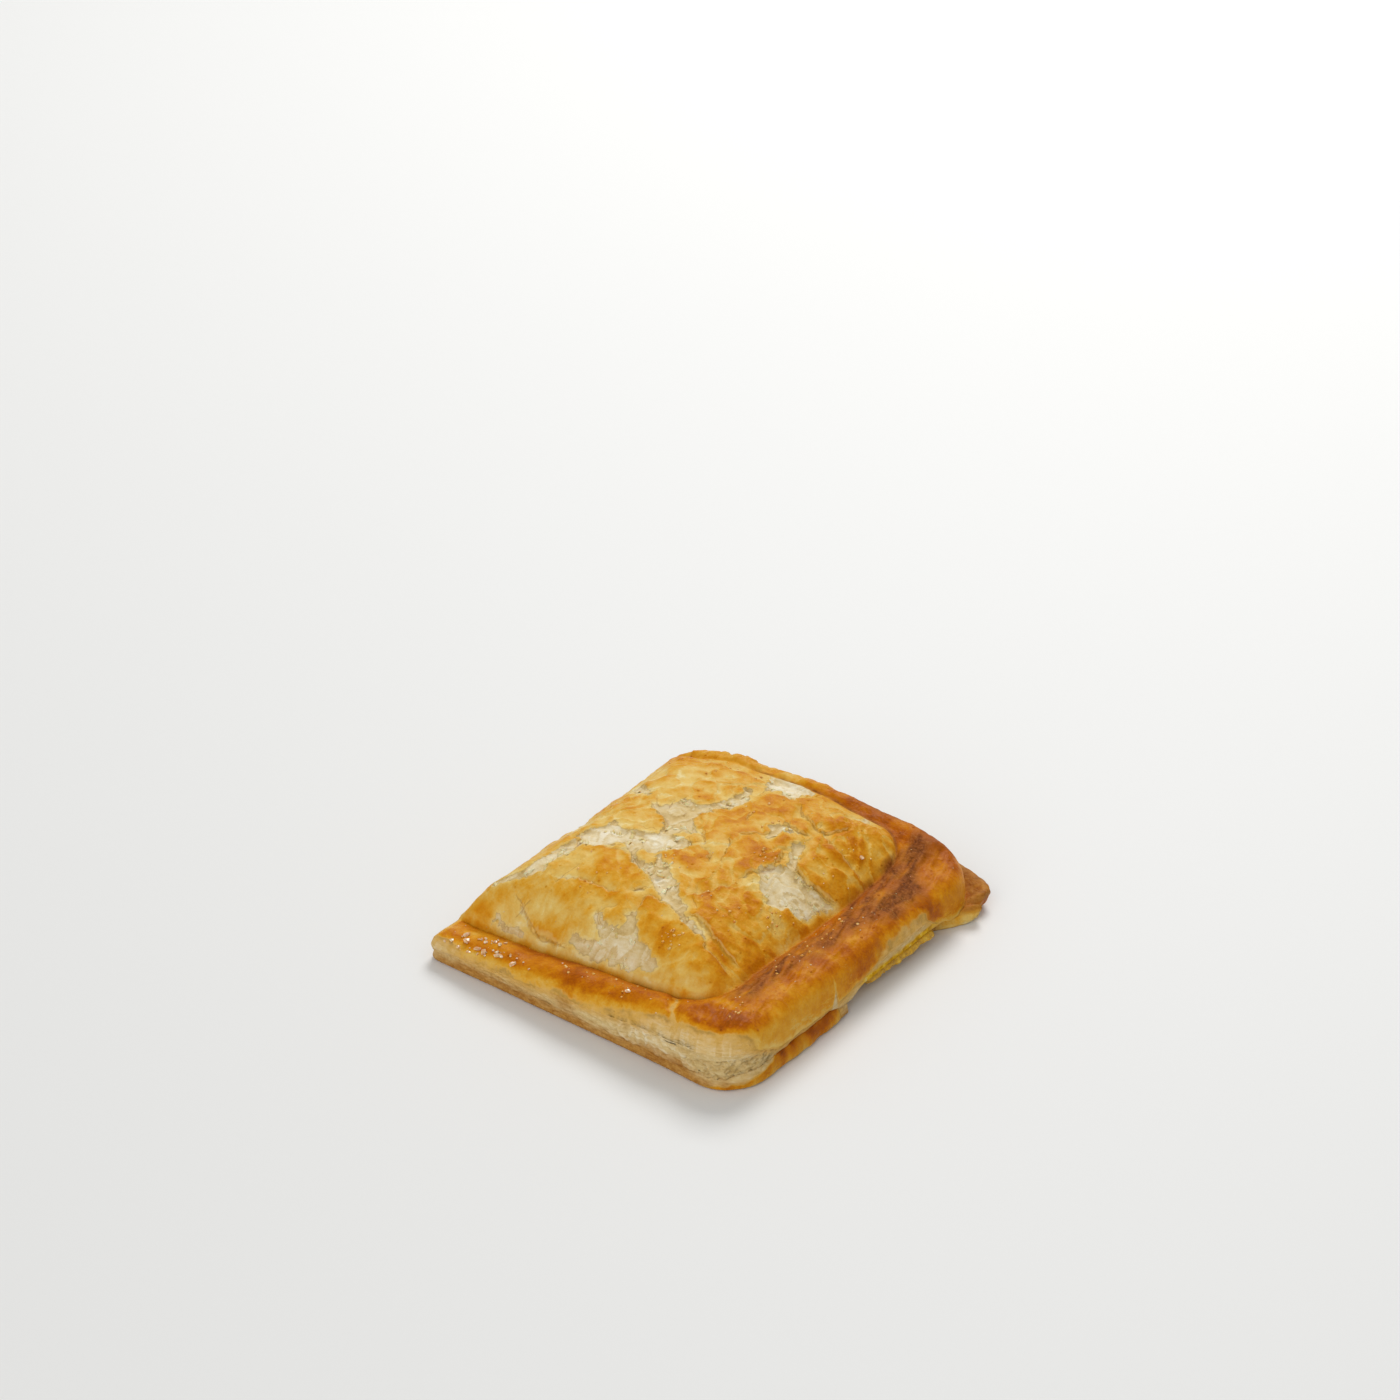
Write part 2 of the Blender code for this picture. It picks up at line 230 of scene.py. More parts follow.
def mouthWindow(x, y, margin=0.0):
    low, high = pastry["mouthY"][0] + margin, pastry["mouthY"][1] - margin
    return window(y, low, low + 7, high - 5, high + 2) * smoothStep(x, 38, 46)


def lipWindow(x, y):
    return window(np.degrees(direction(x, y)), -50, -44, -17, -10)


def recessShare(x, y, inset=0.0):
    low, high = pastry["recess"]
    return np.clip((depthInside(x, y) - low - inset) / (high - low), 0, 1)


def lidUnderside(x, y):
    rim = pastry["baseThickness"] + pastry["gap"] + pastry["lipRise"] * lipWindow(x, y)
    rim = rim + pastry["mouthRise"] * mouthWindow(x, y)
    return rim + (pastry["ceiling"] - rim) * recessShare(x, y)


def latticeNoise(x, y, size, seed):
    # smooth random bumps about as wide as size, between -1 and 1
    table = np.random.default_rng(seed).random((128, 128)) * 2 - 1
    u, v = x / size + 500.37, y / size + 500.71
    i, j = np.floor(u).astype(int), np.floor(v).astype(int)
    fu, fv = u - i, v - j
    fu, fv = fu * fu * (3 - 2 * fu), fv * fv * (3 - 2 * fv)
    i0, j0, i1, j1 = i % 128, j % 128, (i + 1) % 128, (j + 1) % 128
    low = table[i0, j0] * (1 - fu) + table[i1, j0] * fu
    high = table[i0, j1] * (1 - fu) + table[i1, j1] * fu
    return low * (1 - fv) + high * fv


def layeredNoise(x, y, size, seed, octaves=3):
    total, strength, most = 0.0, 1.0, 0.0
    for k in range(octaves):
        total = total + strength * latticeNoise(x, y, size / 2 ** k, seed + k)
        most += strength
        strength *= 0.5
    return total / most


def fromSegment(x, y, start, end):
    # the nearest point's share along the segment, the distance to it, and the same with a sign: left is positive
    ex, ey = end[0] - start[0], end[1] - start[1]
    t = np.clip(((x - start[0]) * ex + (y - start[1]) * ey) / (ex * ex + ey * ey), 0, 1)
    dx, dy = x - start[0] - t * ex, y - start[1] - t * ey
    gap = np.hypot(dx, dy)
    return t, gap, np.sign(ex * dy - ey * dx) * gap


def pathDistance(x, y, path):
    # distance to a path of points, each with its own half width: negative inside
    result = np.full_like(x, far)
    for start, end in zip(path[:-1], path[1:]):
        t, gap, _ = fromSegment(x, y, start, end)
        result = np.minimum(result, gap - (start[2] + (end[2] - start[2]) * t))
    return result


# Where the glazed skin has torn open and shows pale layers: outlines in millimetres
tearPatches = (
    ((20.5, 6.5), (22.5, 9), (24.5, 11), (29.5, 11.3), (30.5, 10.2), (32, 11.8), (36, 13), (38.2, 14.5), (38.2, 12),
     (36.8, 10.5), (37, 5), (36.2, 3), (36, 0.5), (33.5, -0.5), (32.5, -3), (29.5, -5), (28.5, -4), (25, -3.5),
     (24, -1.5), (21.5, 1), (20.3, 3)),
    ((10.7, 25.5), (12, 26), (14, 25), (16, 25.5), (15.8, 23.5), (14, 23), (13.5, 20), (12.2, 18), (11.8, 20.5),
     (10, 23)),
    ((-17, 57.5), (-8, 58.5), (3.5, 59), (2, 55), (4, 51), (2.2, 47), (4.5, 41.5), (1.5, 41.5), (-1, 46), (-3.5, 45),
     (-5, 40), (-6.5, 43), (-9, 48), (-13, 55)),
    ((-19.5, 19.5), (-16.5, 19.3), (-13, 20), (-11, 18.5), (-11, 12), (-9, 9), (-5.5, 6.5), (-8.5, 4.5),
     (-11.5, 0.5), (-13.5, -0.5), (-15, 4), (-16.5, 6.5), (-20, 8.2), (-25, 10.5), (-25.5, 12), (-22.5, 12.8),
     (-21, 16), (-20, 17)),
    ((-28.5, -2), (-29, -7), (-30.5, -8), (-34, -11), (-33.5, -14), (-30.5, -15.5), (-27.5, -16), (-24.5, -15.2),
     (-23, -12.5), (-20.5, -11), (-18.5, -10), (-20.5, -6.5), (-23, -5.5), (-26, -5)),
    ((-19.5, -6), (-17.5, -5), (-15, -4), (-13, -0.8), (-10, 0.2), (-7.5, 1), (-5.5, -1), (-1.5, -0.3), (-3, -3),
     (-6, -5.5), (-7.5, -8.5), (-9.5, -10), (-13, -11), (-14, -13.2), (-16, -12.3), (-19.5, -9.5)),
    ((2.3, -33.8), (4.5, -35.5), (5, -37.5), (8.5, -40), (12.5, -41.3), (15, -43), (18.5, -44.3), (12, -45.3),
     (4, -45.7), (-2, -45.3), (-7, -45), (-11, -44.5), (-13.8, -43.8), (-11.5, -43.3), (-8, -43.2), (-4.5, -42.7),
     (-2.8, -42), (-3.5, -41), (-5.5, -39.8), (-8, -38), (-8.8, -36.8), (-7, -37.3), (-5, -38.7), (-1, -39.3),
     (1, -38.3), (1.8, -36.5), (1.3, -35)),
)

# Narrow tears: points x, y and half width
tearStrips = (
    ((-29, -13, 1.2), (-24, -8, 2.6), (-17, -5.5, 2.2), (-10, -3.5, 2.8), (-4, -0.5, 1.6)),
    ((-20, 9, 1.6), (-15, 13, 2.6), (-11, 19, 1.8), (-9, 26, 1.4), (-7.5, 33, 1.0)),
    ((-30, -14, 1.0), (-33, -21, 1.6), (-35.5, -28, 1.3), (-38, -34, 0.6)),
    ((-6, -11, 0.6), (-1, -16, 1.6), (6, -20.5, 1.3), (13, -26, 1.0), (19, -31, 0.5)),
    ((-12.5, -15, 0.6), (-9.5, -16.7, 1.1), (-5.5, -17.5, 1.4), (-2, -19.3, 1.1), (1.2, -20.8, 1.7), (4, -22.2, 1.4),
     (8, -24.5, 1.8), (12, -26.3, 1.4), (15, -27.7, 0.7), (18.5, -29.8, 0.8), (21.5, -31, 1.0), (24, -31.7, 0.6),
     (26, -32.3, 0.2)),
    ((-9, 37, 0.6), (-7, 33.5, 0.8), (-5.5, 31, 0.7), (-6.5, 28, 1.4), (-7, 25.5, 1.5), (-9, 22, 1.1),
     (-9.2, 19.5, 0.7)),
    ((21, 21, 0.9), (22.3, 17.8, 0.9), (24.5, 12.5, 1.1)),
    ((-31.5, -20.5, 1.0), (-33, -23.5, 1.4), (-34, -27, 1.2), (-34.5, -30.5, 1.3), (-38, -33.5, 0.8),
     (-46, -37.5, 0.6)),
    ((-31.5, 17, 0.6), (-35, 19, 1.8), (-38.5, 21.5, 1.6), (-44, 24, 1.2)),
    ((21.5, 56.5, 0.6), (23, 53, 0.9), (25.5, 49, 0.4)),
    ((-40.5, -7.5, 0.4), (-45, 2, 0.8), (-49, 8, 0.5)),
    ((-42, -43.6, -0.3), (-36, -44.5, 0.1), (-30.5, -45.2, -0.3)),
)

# Thin dark cracks in the skin: points x, y and half width
cracks = (
    ((-37, -38.8, 0.05), (-34.5, -40, 0.15), (-32, -41.3, 0.2), (-28, -43.3, 0.22), (-23, -44.4, 0.15),
     (-18.5, -44.3, 0.35), (-14.5, -44.8, 0.1)),
    ((-32, -39.2, 0.03), (-33.5, -40.6, 0.12), (-34.6, -41.8, 0.03)),
    ((-24.8, -25.8, 0.2), (-25.8, -29, 0.08), (-27, -32.8, 0.02)),
    ((-4.5, -33.2, 0.05), (-7, -34.8, 0.12), (-8.8, -36.4, 0.25), (-7, -38, 0.2), (-5, -39.2, 0.25)),
    ((-3.2, -26.8, 0.3), (-1.5, -25.4, 0.5), (0.6, -24.4, 0.3)),
    ((1.9, -28.8, 0.1), (2.8, -31.6, 0.28), (2.4, -34.2, 0.3), (0.2, -35.3, 0.18)),
    ((14.5, -21.8, 0.05), (17, -23, 0.18), (18.8, -25.2, 0.12)),
    ((8.2, 40.3, 0.5), (10, 37.8, 0.3), (13, 36, 0.1)),
    ((16, 34.6, 0.1), (18, 32.8, 0.35), (20, 32, 0.45), (20.2, 34.2, 0.1)),
    ((20.3, 31.8, 0.3), (22.5, 32.9, 0.4), (24.5, 37, 0.2), (25.5, 39, 0.05)),
    ((10.4, 28.8, 0.1), (11.6, 26.9, 0.3), (15.8, 27.4, 0.3), (17.3, 26.5, 0.25), (19.8, 27.8, 0.2)),
    ((0.2, 26, 0.2), (1, 23.8, 0.4), (2.2, 20.8, 0.1)),
    ((25, 13.4, 0.1), (28, 12.6, 0.12), (31, 12, 0.35), (33.5, 13.2, 0.45), (36, 13.9, 0.3), (38, 15.6, 0.15)),
    ((-7.2, 45.5, 0.1), (-6, 42, 0.3), (-5, 39, 0.08)),
    ((-20.1, 20.6, 0.3), (-19.6, 18.3, 0.45)),
    ((-21.9, 16.5, 0.35), (-21.3, 14.3, 0.55)),
    ((-27, 15.5, 0.1), (-25.5, 13.5, 0.35), (-23.8, 12, 0.25)),
    ((-15.6, 14.6, 0.2), (-15, 13.2, 0.3)),
    ((-31.8, -15.2, 0.25), (-30.9, -18, 0.5), (-30.4, -20, 0.25)),
    ((-22.5, -13.8, 0.35), (-21.3, -13, 0.5), (-19.8, -12.4, 0.2)),
    ((-14.6, -13, 0.4), (-13.8, -14.3, 0.35)),
    ((-12.3, -14.8, 0.1), (-9.8, -16.4, 0.25), (-7.4, -18.2, 0.4), (-6.2, -18.6, 0.15)),
    ((-21.4, -0.9, 0.1), (-20.2, -0.2, 0.3), (-18.8, -0.7, 0.4), (-17.2, 0.8, 0.2), (-16, 0.4, 0.1)),
    ((-4.8, 2.4, 0.1), (-3.8, 1.5, 0.3), (-2.6, 1.9, 0.35), (-1.4, 3.0, 0.1)),
    ((20.3, 3.2, 0.3), (20.9, 5.6, 0.5), (22, 8.2, 0.35)),
    ((18.3, -3.8, 0.2), (18.9, -1.6, 0.25)),
    ((27.8, -33, 0.1), (28.8, -34.3, 0.3), (29.2, -34.9, 0.1)),
    ((4.6, 9.5, 0.05), (6.6, 6.2, 0.2), (8.2, 3, 0.3), (9, 0, 0.15)),
    ((-3.6, 8.2, 0.05), (-1.8, 5.6, 0.2), (0.2, 3.2, 0.15)),
)

# Edges of skin plates that lie over their neighbours: points x, y along the edge, with the raised side on the left, then
# the step
ledges = (
    (((-37, -38.8), (-33, -41), (-28, -43.5), (-20, -44.3), (-14, -44.7)), 0.8),
    (((0.6, -24.6), (0, -22), (-4, -19), (-9, -18.3), (-13, -15.5), (-16, -14), (-22, -15.5), (-28, -17.5)), 1.0),
    (((-3.4, -26.8), (-1.5, -25.4), (0.6, -24.4)), 0.6),
    (((29, -34.8), (26, -32.6), (20.5, -32), (15, -28.4), (9, -28), (4, -26.8), (2, -28), (2.9, -31.6), (2.5, -34.2),
     (0.2, -35.4)), 1.0),
    (((-8.8, -36.4), (-7, -38), (-5, -39.2)), 0.4),
    (((9, -3.5), (6, -3), (4, 0.2), (0, 1), (-3.5, -2.3), (-6.5, -5.3), (-7.3, -9)), 1.1),
    (((19.5, -7.5), (17, -11), (16, -15), (14, -20), (13, -22)), 0.8),
    (((16.5, -27), (22, -28), (26, -28.8), (30, -30), (35, -30.3), (39, -30)), 0.9),
    (((38.5, -35), (33, -34.9), (29, -34.7), (27, -33)), 0.7),
    (((19, -4.5), (18, -1), (20.3, 3.3), (21.8, 8), (20.2, 13.5), (18.5, 18)), 1.0),
    (((3.4, 11.5), (6, 7.2), (8, 3), (9.2, -0.8), (10.5, -2.5)), 0.8),
    (((-4.5, 9), (-2.5, 6), (0.3, 3)), 0.5),
    (((24, 14), (28, 13), (30.8, 12.3), (33.5, 13.9), (36, 14.6), (38.5, 16.8)), 1.3),
    (((39, 30), (32, 29.8), (26, 30.3), (21, 31.7)), 0.55),
    (((7.5, 41), (11, 37), (15, 35), (18, 32.6), (20.2, 31.6)), 0.9),
    (((20.2, 31.6), (22.5, 33), (24.5, 37), (26.5, 41)), 0.7),
    (((9.8, 29), (11.8, 26.6), (16, 27.3), (17.5, 26.3), (20.5, 28.2)), 1.0),
    (((2.4, 20), (1, 23.6), (0, 26.5)), 0.6),
    (((-12.5, -2), (-13.8, 3), (-16, 6.5), (-20, 8.3), (-25, 10.6), (-29, 14)), 0.9),
    (((-30, -20.6), (-31.5, -17), (-33.5, -13.5), (-37, -9.5)), 0.9),
    (((-10.8, 11), (-10.6, 15), (-10.4, 19), (-8, 24)), -0.7),
    (((-30, -33), (-22, -30), (-12, -29.5), (-5, -30.5)), -0.35),
    (((12.5, 21), (8, 16), (4, 12.5)), -0.4),
)

# Small sunken spots: x, y, reach along x and y, depth
dents = (
    (-25.5, 39.5, 2.6, 2.0, 0.9), (-26.5, 44, 1.5, 4, 0.4), (13, -14, 3, 3, -0.5), (-3, 1.6, 1.8, 1.2, 0.3),
    (-19, -0.4, 2.6, 1.4, 0.3), (34, -32.3, 6, 1.3, 0.5), (9, 38.5, 1.6, 1.6, 0.5), (-15.5, 5, 2, 2.5, 0.3),
    (37.6, 2, 0.8, 3, 0.4), (-20, -53.5, 4, 4, 0.8), (12, -54, 11, 3.5, -0.6), (29.5, -50.5, 2.5, 3.5, 0.7),
    (42, -52, 8, 4, -0.5), (-5, -54, 2.5, 4, 0.4), (-40, -53, 8, 3, -0.3),
)

# Baking colour: x, y, reach along x and y, and how much darker the glaze is there
browned = (
    (-17.5, -22.5, 5, 3.5, 0.24), (-9, -24, 4.5, 3.5, 0.22), (-11, -30.5, 6, 1.6, 0.12), (1, -6, 4.5, 3.5, 0.36),
    (-4.5, -10, 2, 1.6, 0.25), (6, -9, 6, 4, 0.16), (13, -14.5, 4, 2.6, 0.28), (15, -6.5, 3, 3, 0.18),
    (16.5, -18.5, 3, 3, 0.28), (27, -13.5, 8, 3.2, 0.26), (35.5, -17, 3, 5, 0.24), (29, -21, 9, 4, 0.14),
    (21, -10, 2, 1.5, 0.25), (31.5, -32.2, 5, 1.8, 0.36), (14, -37, 4, 2, 0.2), (20, -37, 4, 2, 0.12),
    (8, -30.5, 5, 1.8, 0.16), (16, 7, 4, 6, 0.34), (8, 13, 3.5, 6, 0.22), (13.5, 14, 2.5, 3, 0.2),
    (-4, 20.5, 3.5, 3, 0.22), (2.5, 33, 4, 4, 0.34), (4, 28.5, 3, 2, 0.25), (13, 31, 5, 3, 0.34),
    (18.5, 28.5, 1.6, 1.6, 0.25), (26, 28, 5, 1.2, 0.18), (28, 22.5, 4, 2, 0.16), (33, 27, 3, 3, 0.14),
    (30, 37.5, 6, 3.5, 0.42), (30, 33, 8, 1.5, 0.3), (31, 43.5, 6, 2, 0.26), (3, 40.5, 3, 1.2, 0.2),
    (10, 46, 5, 3, 0.15), (33, 52, 5, 4, 0.2), (-25.5, 40, 3, 3, 0.3), (-12, -36.8, 1.8, 1.1, 0.42),
    (-37, -34.2, 3, 0.9, 0.3), (-45, -39.5, 6, 2.0, 0.25), (-49, -42, 2.5, 1.2, 0.3), (-31, 13.6, 1.6, 1.2, 0.24),
    (34.5, -2, 1.2, 2.6, 0.26), (-38, 45, 8, 5, 0.2), (-45, 55, 9, 4, 0.2), (-28, 57, 6, 2, 0.12),
    (-15, 25, 2.5, 3, 0.14), (4.5, 6, 2, 1.5, 0.2), (19.5, 22.5, 2, 3, 0.12), (38.8, 3, 1.3, 12, 0.35),
    (38.9, -22, 1, 10, 0.16), (-45, 5, 12, 22, -0.1), (-38, -8, 8, 8, -0.08), (-22, 2, 6, 5, -0.05),
    (-36, 27, 8, 8, -0.08), (-25, -40, 14, 3, -0.06), (-14, -43, 8, 1.5, -0.12), (34, -40, 5, 3, -0.08),
    (27, -6, 6, 1.6, -0.12), (33, -7.5, 4, 2, -0.05), (22.5, 14.5, 1.5, 1.5, -0.12), (-9, -12.5, 4, 1.6, -0.15),
    (24, -1.5, 3, 2, -0.1), (-43, -50.5, 9, 2.4, -0.2), (-40, -56.6, 12, 1.6, 0.16), (-24, -48, 7, 1.8, 0.26),
    (-10, -48.5, 8, 1.8, 0.2), (-1.5, -55, 3.5, 7, 0.24), (20, -52, 5, 5, 0.1), (9, -52, 4, 4, -0.06),
    (48, -54, 9, 4, 0.3), (46, -46.3, 8, 1.1, -0.2), (52, -60.5, 10, 1.4, -0.16), (33, -60, 7, 1.2, 0.1),
    (58.5, -42, 1.6, 10, -0.08), (56, -50, 3, 3, 0.1), (59.5, 4, 1.5, 12, 0.16), (55, -8, 2.5, 4, -0.14),
    (54, 4, 1.5, 4, -0.18), (55.5, 45, 2.5, 9, -0.06), (47, 61, 8, 2, 0.1), (42, -2, 1.6, 22, 0.05),
    (12, -54, 7, 3.5, 0.24), (50, -60.5, 7, 2.4, 0.26), (-42, -50, 8, 2.4, -0.14), (31, 36, 5, 4, 0.16),
    (30, 23, 5, 4, 0.12), (-22, -38, 5, 4, -0.2), (22, -40, 5, 4, 0.1), (-20, -31, 6, 4, -0.08),
    (0, 14, 5, 4, -0.08), (35, -26, 3.5, 12, 0.16), (36, 8, 3, 8, 0.12), (56.5, -34, 2.5, 10, -0.14),
    (37, 22, 3, 9, 0.14), (29, 24, 6, 5, 0.08),
)


# Spots of the dull stain outside its band: x, y, reach along x and y, amount
stainSpots = ((55.5, 24, 1.3, 6, 0.5), (40.5, 37, 1.5, 4, 0.35), (43.5, 53, 4, 4, 0.3))


def warpPlace(x, y):
    wx = x + 0.85 * layeredNoise(x, y, 2.8, 11) + 0.42 * latticeNoise(x, y, 0.95, 17)
    wy = y + 0.85 * layeredNoise(x, y, 2.8, 23) + 0.42 * latticeNoise(x, y, 0.95, 29)
    return wx, wy


def patchDistance(x, y, outline):
    # signed distance to a closed outline: negative inside
    result = np.full_like(x, far)
    inside = np.zeros(x.shape, bool)
    for start, end in zip(outline, outline[1:] + outline[:1]):
        result = np.minimum(result, fromSegment(x, y, start, end)[1])
        ex, ey = end[0] - start[0], end[1] - start[1]
        crosses = (start[1] > y) != (end[1] > y)
        inside ^= crosses & (x < start[0] + (y - start[1]) * ex / (ey if abs(ey) > tiny else tiny))
    return np.where(inside, -result, result)


def tearField(x, y):
    wx, wy = warpPlace(x, y)
    result = np.full_like(x, far)
    for shapes, distance in ((tearPatches, patchDistance), (tearStrips, pathDistance)):
        for shape in shapes:
            result = np.minimum(result, distance(wx, wy, shape))
    return result - 0.45 + 0.75 * layeredNoise(x, y, 2.4, 33)


def crackField(x, y):
    # distance to the nearest crack, negative inside, and the signed distance to its middle line
    wx, wy = x + 0.45 * layeredNoise(x, y, 1.8, 31), y + 0.45 * layeredNoise(x, y, 1.8, 37)
    result, line = np.full_like(x, far), np.full_like(x, far)
    for path in cracks:
        for start, end in zip(path[:-1], path[1:]):
            t, gap, signed = fromSegment(wx, wy, start, end)
            outside = gap - start[2] - (end[2] - start[2]) * t
            closer = outside < result
            result, line = np.where(closer, outside, result), np.where(closer, signed, line)
    return result, line


def ledgeField(x, y):
    # the height that the plate edges add, the nearest edge's distance, and which side of it a point is on
    wx, wy = warpPlace(x, y)
    height, side, nearest = np.zeros_like(x), np.zeros_like(x), np.full_like(x, far)
    for path, step in ledges:
        lengths = [math.dist(a, b) for a, b in zip(path[:-1], path[1:])]
        before = 0.0
        gap, signed, along = np.full_like(x, far), np.zeros_like(x), np.zeros_like(x)
        for start, end, length in zip(path[:-1], path[1:], lengths):
            t, distance, sided = fromSegment(wx, wy, start, end)
            closer = distance < gap
            gap, signed = np.where(closer, distance, gap), np.where(closer, sided, signed)
            along = np.where(closer, (before + t * length) / sum(lengths), along)
            before += length
        ends = window(along, 0.0, 0.14, 0.86, 1.0)
        signed = signed if step > 0 else -signed
        onRaised = smoothStep(signed, -0.2, 0.25)
        raised = 0.85 * np.exp(-np.maximum(signed, 0) / 3.0) * onRaised
        sunk = 0.5 * np.exp(-np.maximum(-signed, 0) / 1.8) * (1 - onRaised)
        height = height + abs(step) * ends * (raised - sunk)
        reach = gap + 3 * (1 - ends)
        side = np.where(reach < nearest, np.sign(signed), side)
        nearest = np.minimum(nearest, reach)
    return height, nearest, side


def brownField(x, y, fields):
    crease, edge, leaf = fields["crease"], fields["edge"], fields["leaf"]
    broken = 0.85 + 0.75 * layeredNoise(x, y, 3.2, 49, 3)
    dome = 0.355 + 0.11 * layeredNoise(x, y, 9.0, 41, 4) + 0.05 * smoothStep(x, -30, 10)
    dome = dome - 0.18 * bump(crease, 0.8, 0.5) * (1 - smoothStep(x, 18, 30)) * smoothStep(-y, 20, 35)
    rim = 0.64 + 0.14 * layeredNoise(x, y, 7.0, 53, 3) + 0.08 * smoothStep(x, -50, -10)
    rim = rim - 0.10 * (1 - smoothStep(edge, 0.0, 2.4))
    backRim = smoothStep(y, 52, 58)
    rim = rim * (1 - backRim) + backRim * (0.42 + 0.38 * smoothStep(x, -12, 20) + 0.16 * layeredNoise(x, y, 4.5, 59, 3))
    onRim = 1 - smoothStep(crease, -0.8, 0.5)
    onDome = 1 - onRim
    brown = dome * onDome + rim * onRim
    wx, wy = x + 1.2 * layeredNoise(x, y, 5.0, 43), y + 1.2 * layeredNoise(x, y, 5.0, 47)
    brown = brown + 0.8 * broken * spotSum(wx, wy, browned)
    brown = brown + np.exp(-fields["ledgeGap"] / 2.0) * onDome * np.where(fields["ledgeSide"] > 0, 0.24, -0.16)
    brown = brown + (0.32 * onDome + 0.12 * onRim) * fields["puff"]
    brown = brown + onDome * fields["rough"] * (0.16 * (0.4 - leaf) - 0.08 * smoothStep(leaf, 0.75, 0.95))
    brown = onDome * smoothMin(brown, 0.68, 0.05) + onRim * smoothMin(brown, 0.84, 0.05)
    brown = brown - 0.24 * np.clip(broken, 0.2, 1.4) * np.exp(-np.maximum(fields["tear"], 0) / 1.2)
    return brown - 0.10 * np.exp(-np.maximum(fields["crack"], 0) / 0.9)


def stainField(x, y, crease):
    # the broad dull brown band in the valley on the right, and a thin dark line along the front crease
    wx, wy = x + 1.3 * layeredNoise(x, y, 4.0, 61), y + 2.0 * layeredNoise(x, y, 5.0, 63)
    inner = 39.5 + 2.0 * bump(wy, 4, 12) - 2.0 * smoothStep(wy, 12, 30) - 1.5 * smoothStep(wy, 36, 48)
    outer = 53.5 - 1.5 * bump(wy, -30, 14) + 2.5 * window(wy, 5, 22, 24, 36) - 6.0 * smoothStep(wy, 38, 50)
    band = window(wx, inner, inner + 3.0, outer - 5.0, outer + 1.5) * window(wy, -48, -38, 56, 63)
    along = 0.58 + 0.10 * smoothStep(y, 8, 30) + 0.2 * smoothStep(y, 36, 44)
    along = along - 0.10 * smoothStep(y, 22, 30) * (1 - smoothStep(wx, 46, 50))
    flow = latticeNoise(x * 1.6 + y * 0.4, y * 0.35, 1.6, 67)
    stain = band * (along + 0.34 * flow + 0.24 * layeredNoise(x, y, 3.0, 69, 3) + 0.25 * spot(wx, wy, 50, 34, 3.5, 13))
    stain = stain + 0.8 * spot(wx - 0.12 * (wy - 34), wy, 52.0, 33, 2.3, 8) + spotSum(wx, wy, stainSpots)
    stain = stain + 0.4 * spot(wx, wy, 46, -20, 2.2, 5) * smoothStep(flow, -0.2, 0.5)
    stain = stain + 0.55 * smoothStep(y, 59.5, 62) * smoothStep(x, 6, 22)
    # dark streaks that run out to the rim above the opening
    streaks = smoothStep(layeredNoise(x * 0.3 - y * 0.2, x * 0.45 + y * 0.8, 3.0, 163, 4), 0.0, 0.7)
    stain = stain + 0.55 * streaks * smoothStep(x, 49, 54) * window(y, 2, 12, 34, 42)
    line = 0.75 * bump(crease, -0.35, 0.5) * smoothStep(x, -30, -12) * (1 - 0.5 * smoothStep(x, 36, 40))
    return np.clip(np.maximum(stain, line * (0.75 + 0.5 * latticeNoise(x, y, 2.0, 71))), 0, 1)


def foldLine(x, y):
    # the pale pinched fold that crosses the front rim
    path = ((28.2, -47.3, 0.2), (30.6, -50.0, 0.7), (32.6, -54.0, 0.8), (35.0, -58.0, 0.9), (38.0, -62.0, 1.6))
    return pathDistance(x + 0.9 * layeredNoise(x, y, 2.4, 73, 3), y + 0.5 * latticeNoise(x, y, 1.5, 87), path)


# Where the glaze stops on the side walls: direction in degrees, and how many millimetres above the wall's top
# it stops; below 0 it runs down the wall
glazeStop = (
    (-180.0, -1.8), (-150.0, -0.4), (-140.0, 1.0), (-131.0, 2.2), (-126.0, 0.4), (-101.0, 0.1), (-83.0, 0.2),
    (-74.0, 0.9), (-66.0, 1.7), (-61.0, 2.8), (-56.0, 2.6), (-48.0, 2.4), (-44.0, 1.4), (-41.0, -1.0), (-36.0, -4.6),
    (-16.0, -5.0), (-14.5, 0.5), (-13.0, -4.6), (-4.0, -2.8), (3.0, -2.0), (8.0, 0.2), (24.0, 0.9), (29.0, 0.5),
    (33.0, -2.8), (38.0, -6.5), (62.0, -6.0), (72.0, -2.0), (90.0, -1.2), (180.0, -1.8),
)


def tableValue(place, table):
    return np.interp(place, *zip(*table))


def glazeOffset(x, y, angle):
    return tableValue(np.degrees(angle), glazeStop) + 0.5 * layeredNoise(x, y, 4.0, 75, 3)


def leafSteps(x, y, size, levels, seed):
    # overlapping leaves: the share of the way along each leaf, from its raised edge at 0 to the next leaf's foot at 1
    wx = x + 0.5 * layeredNoise(x, y, 1.6, seed + 5, 2)
    wy = y + 0.5 * layeredNoise(x, y, 1.6, seed + 9, 2)
    level = levels * layeredNoise(wx * 0.85 + wy * 0.5, wy * 0.85 - wx * 0.5, size, seed, 2)
    return level - np.floor(level)


def leafRelief(share, foot):
    # a leaf's height: highest at its raised edge, falling to the next leaf's foot
    return smoothStep(share, foot, 1.0) - share + 0.5


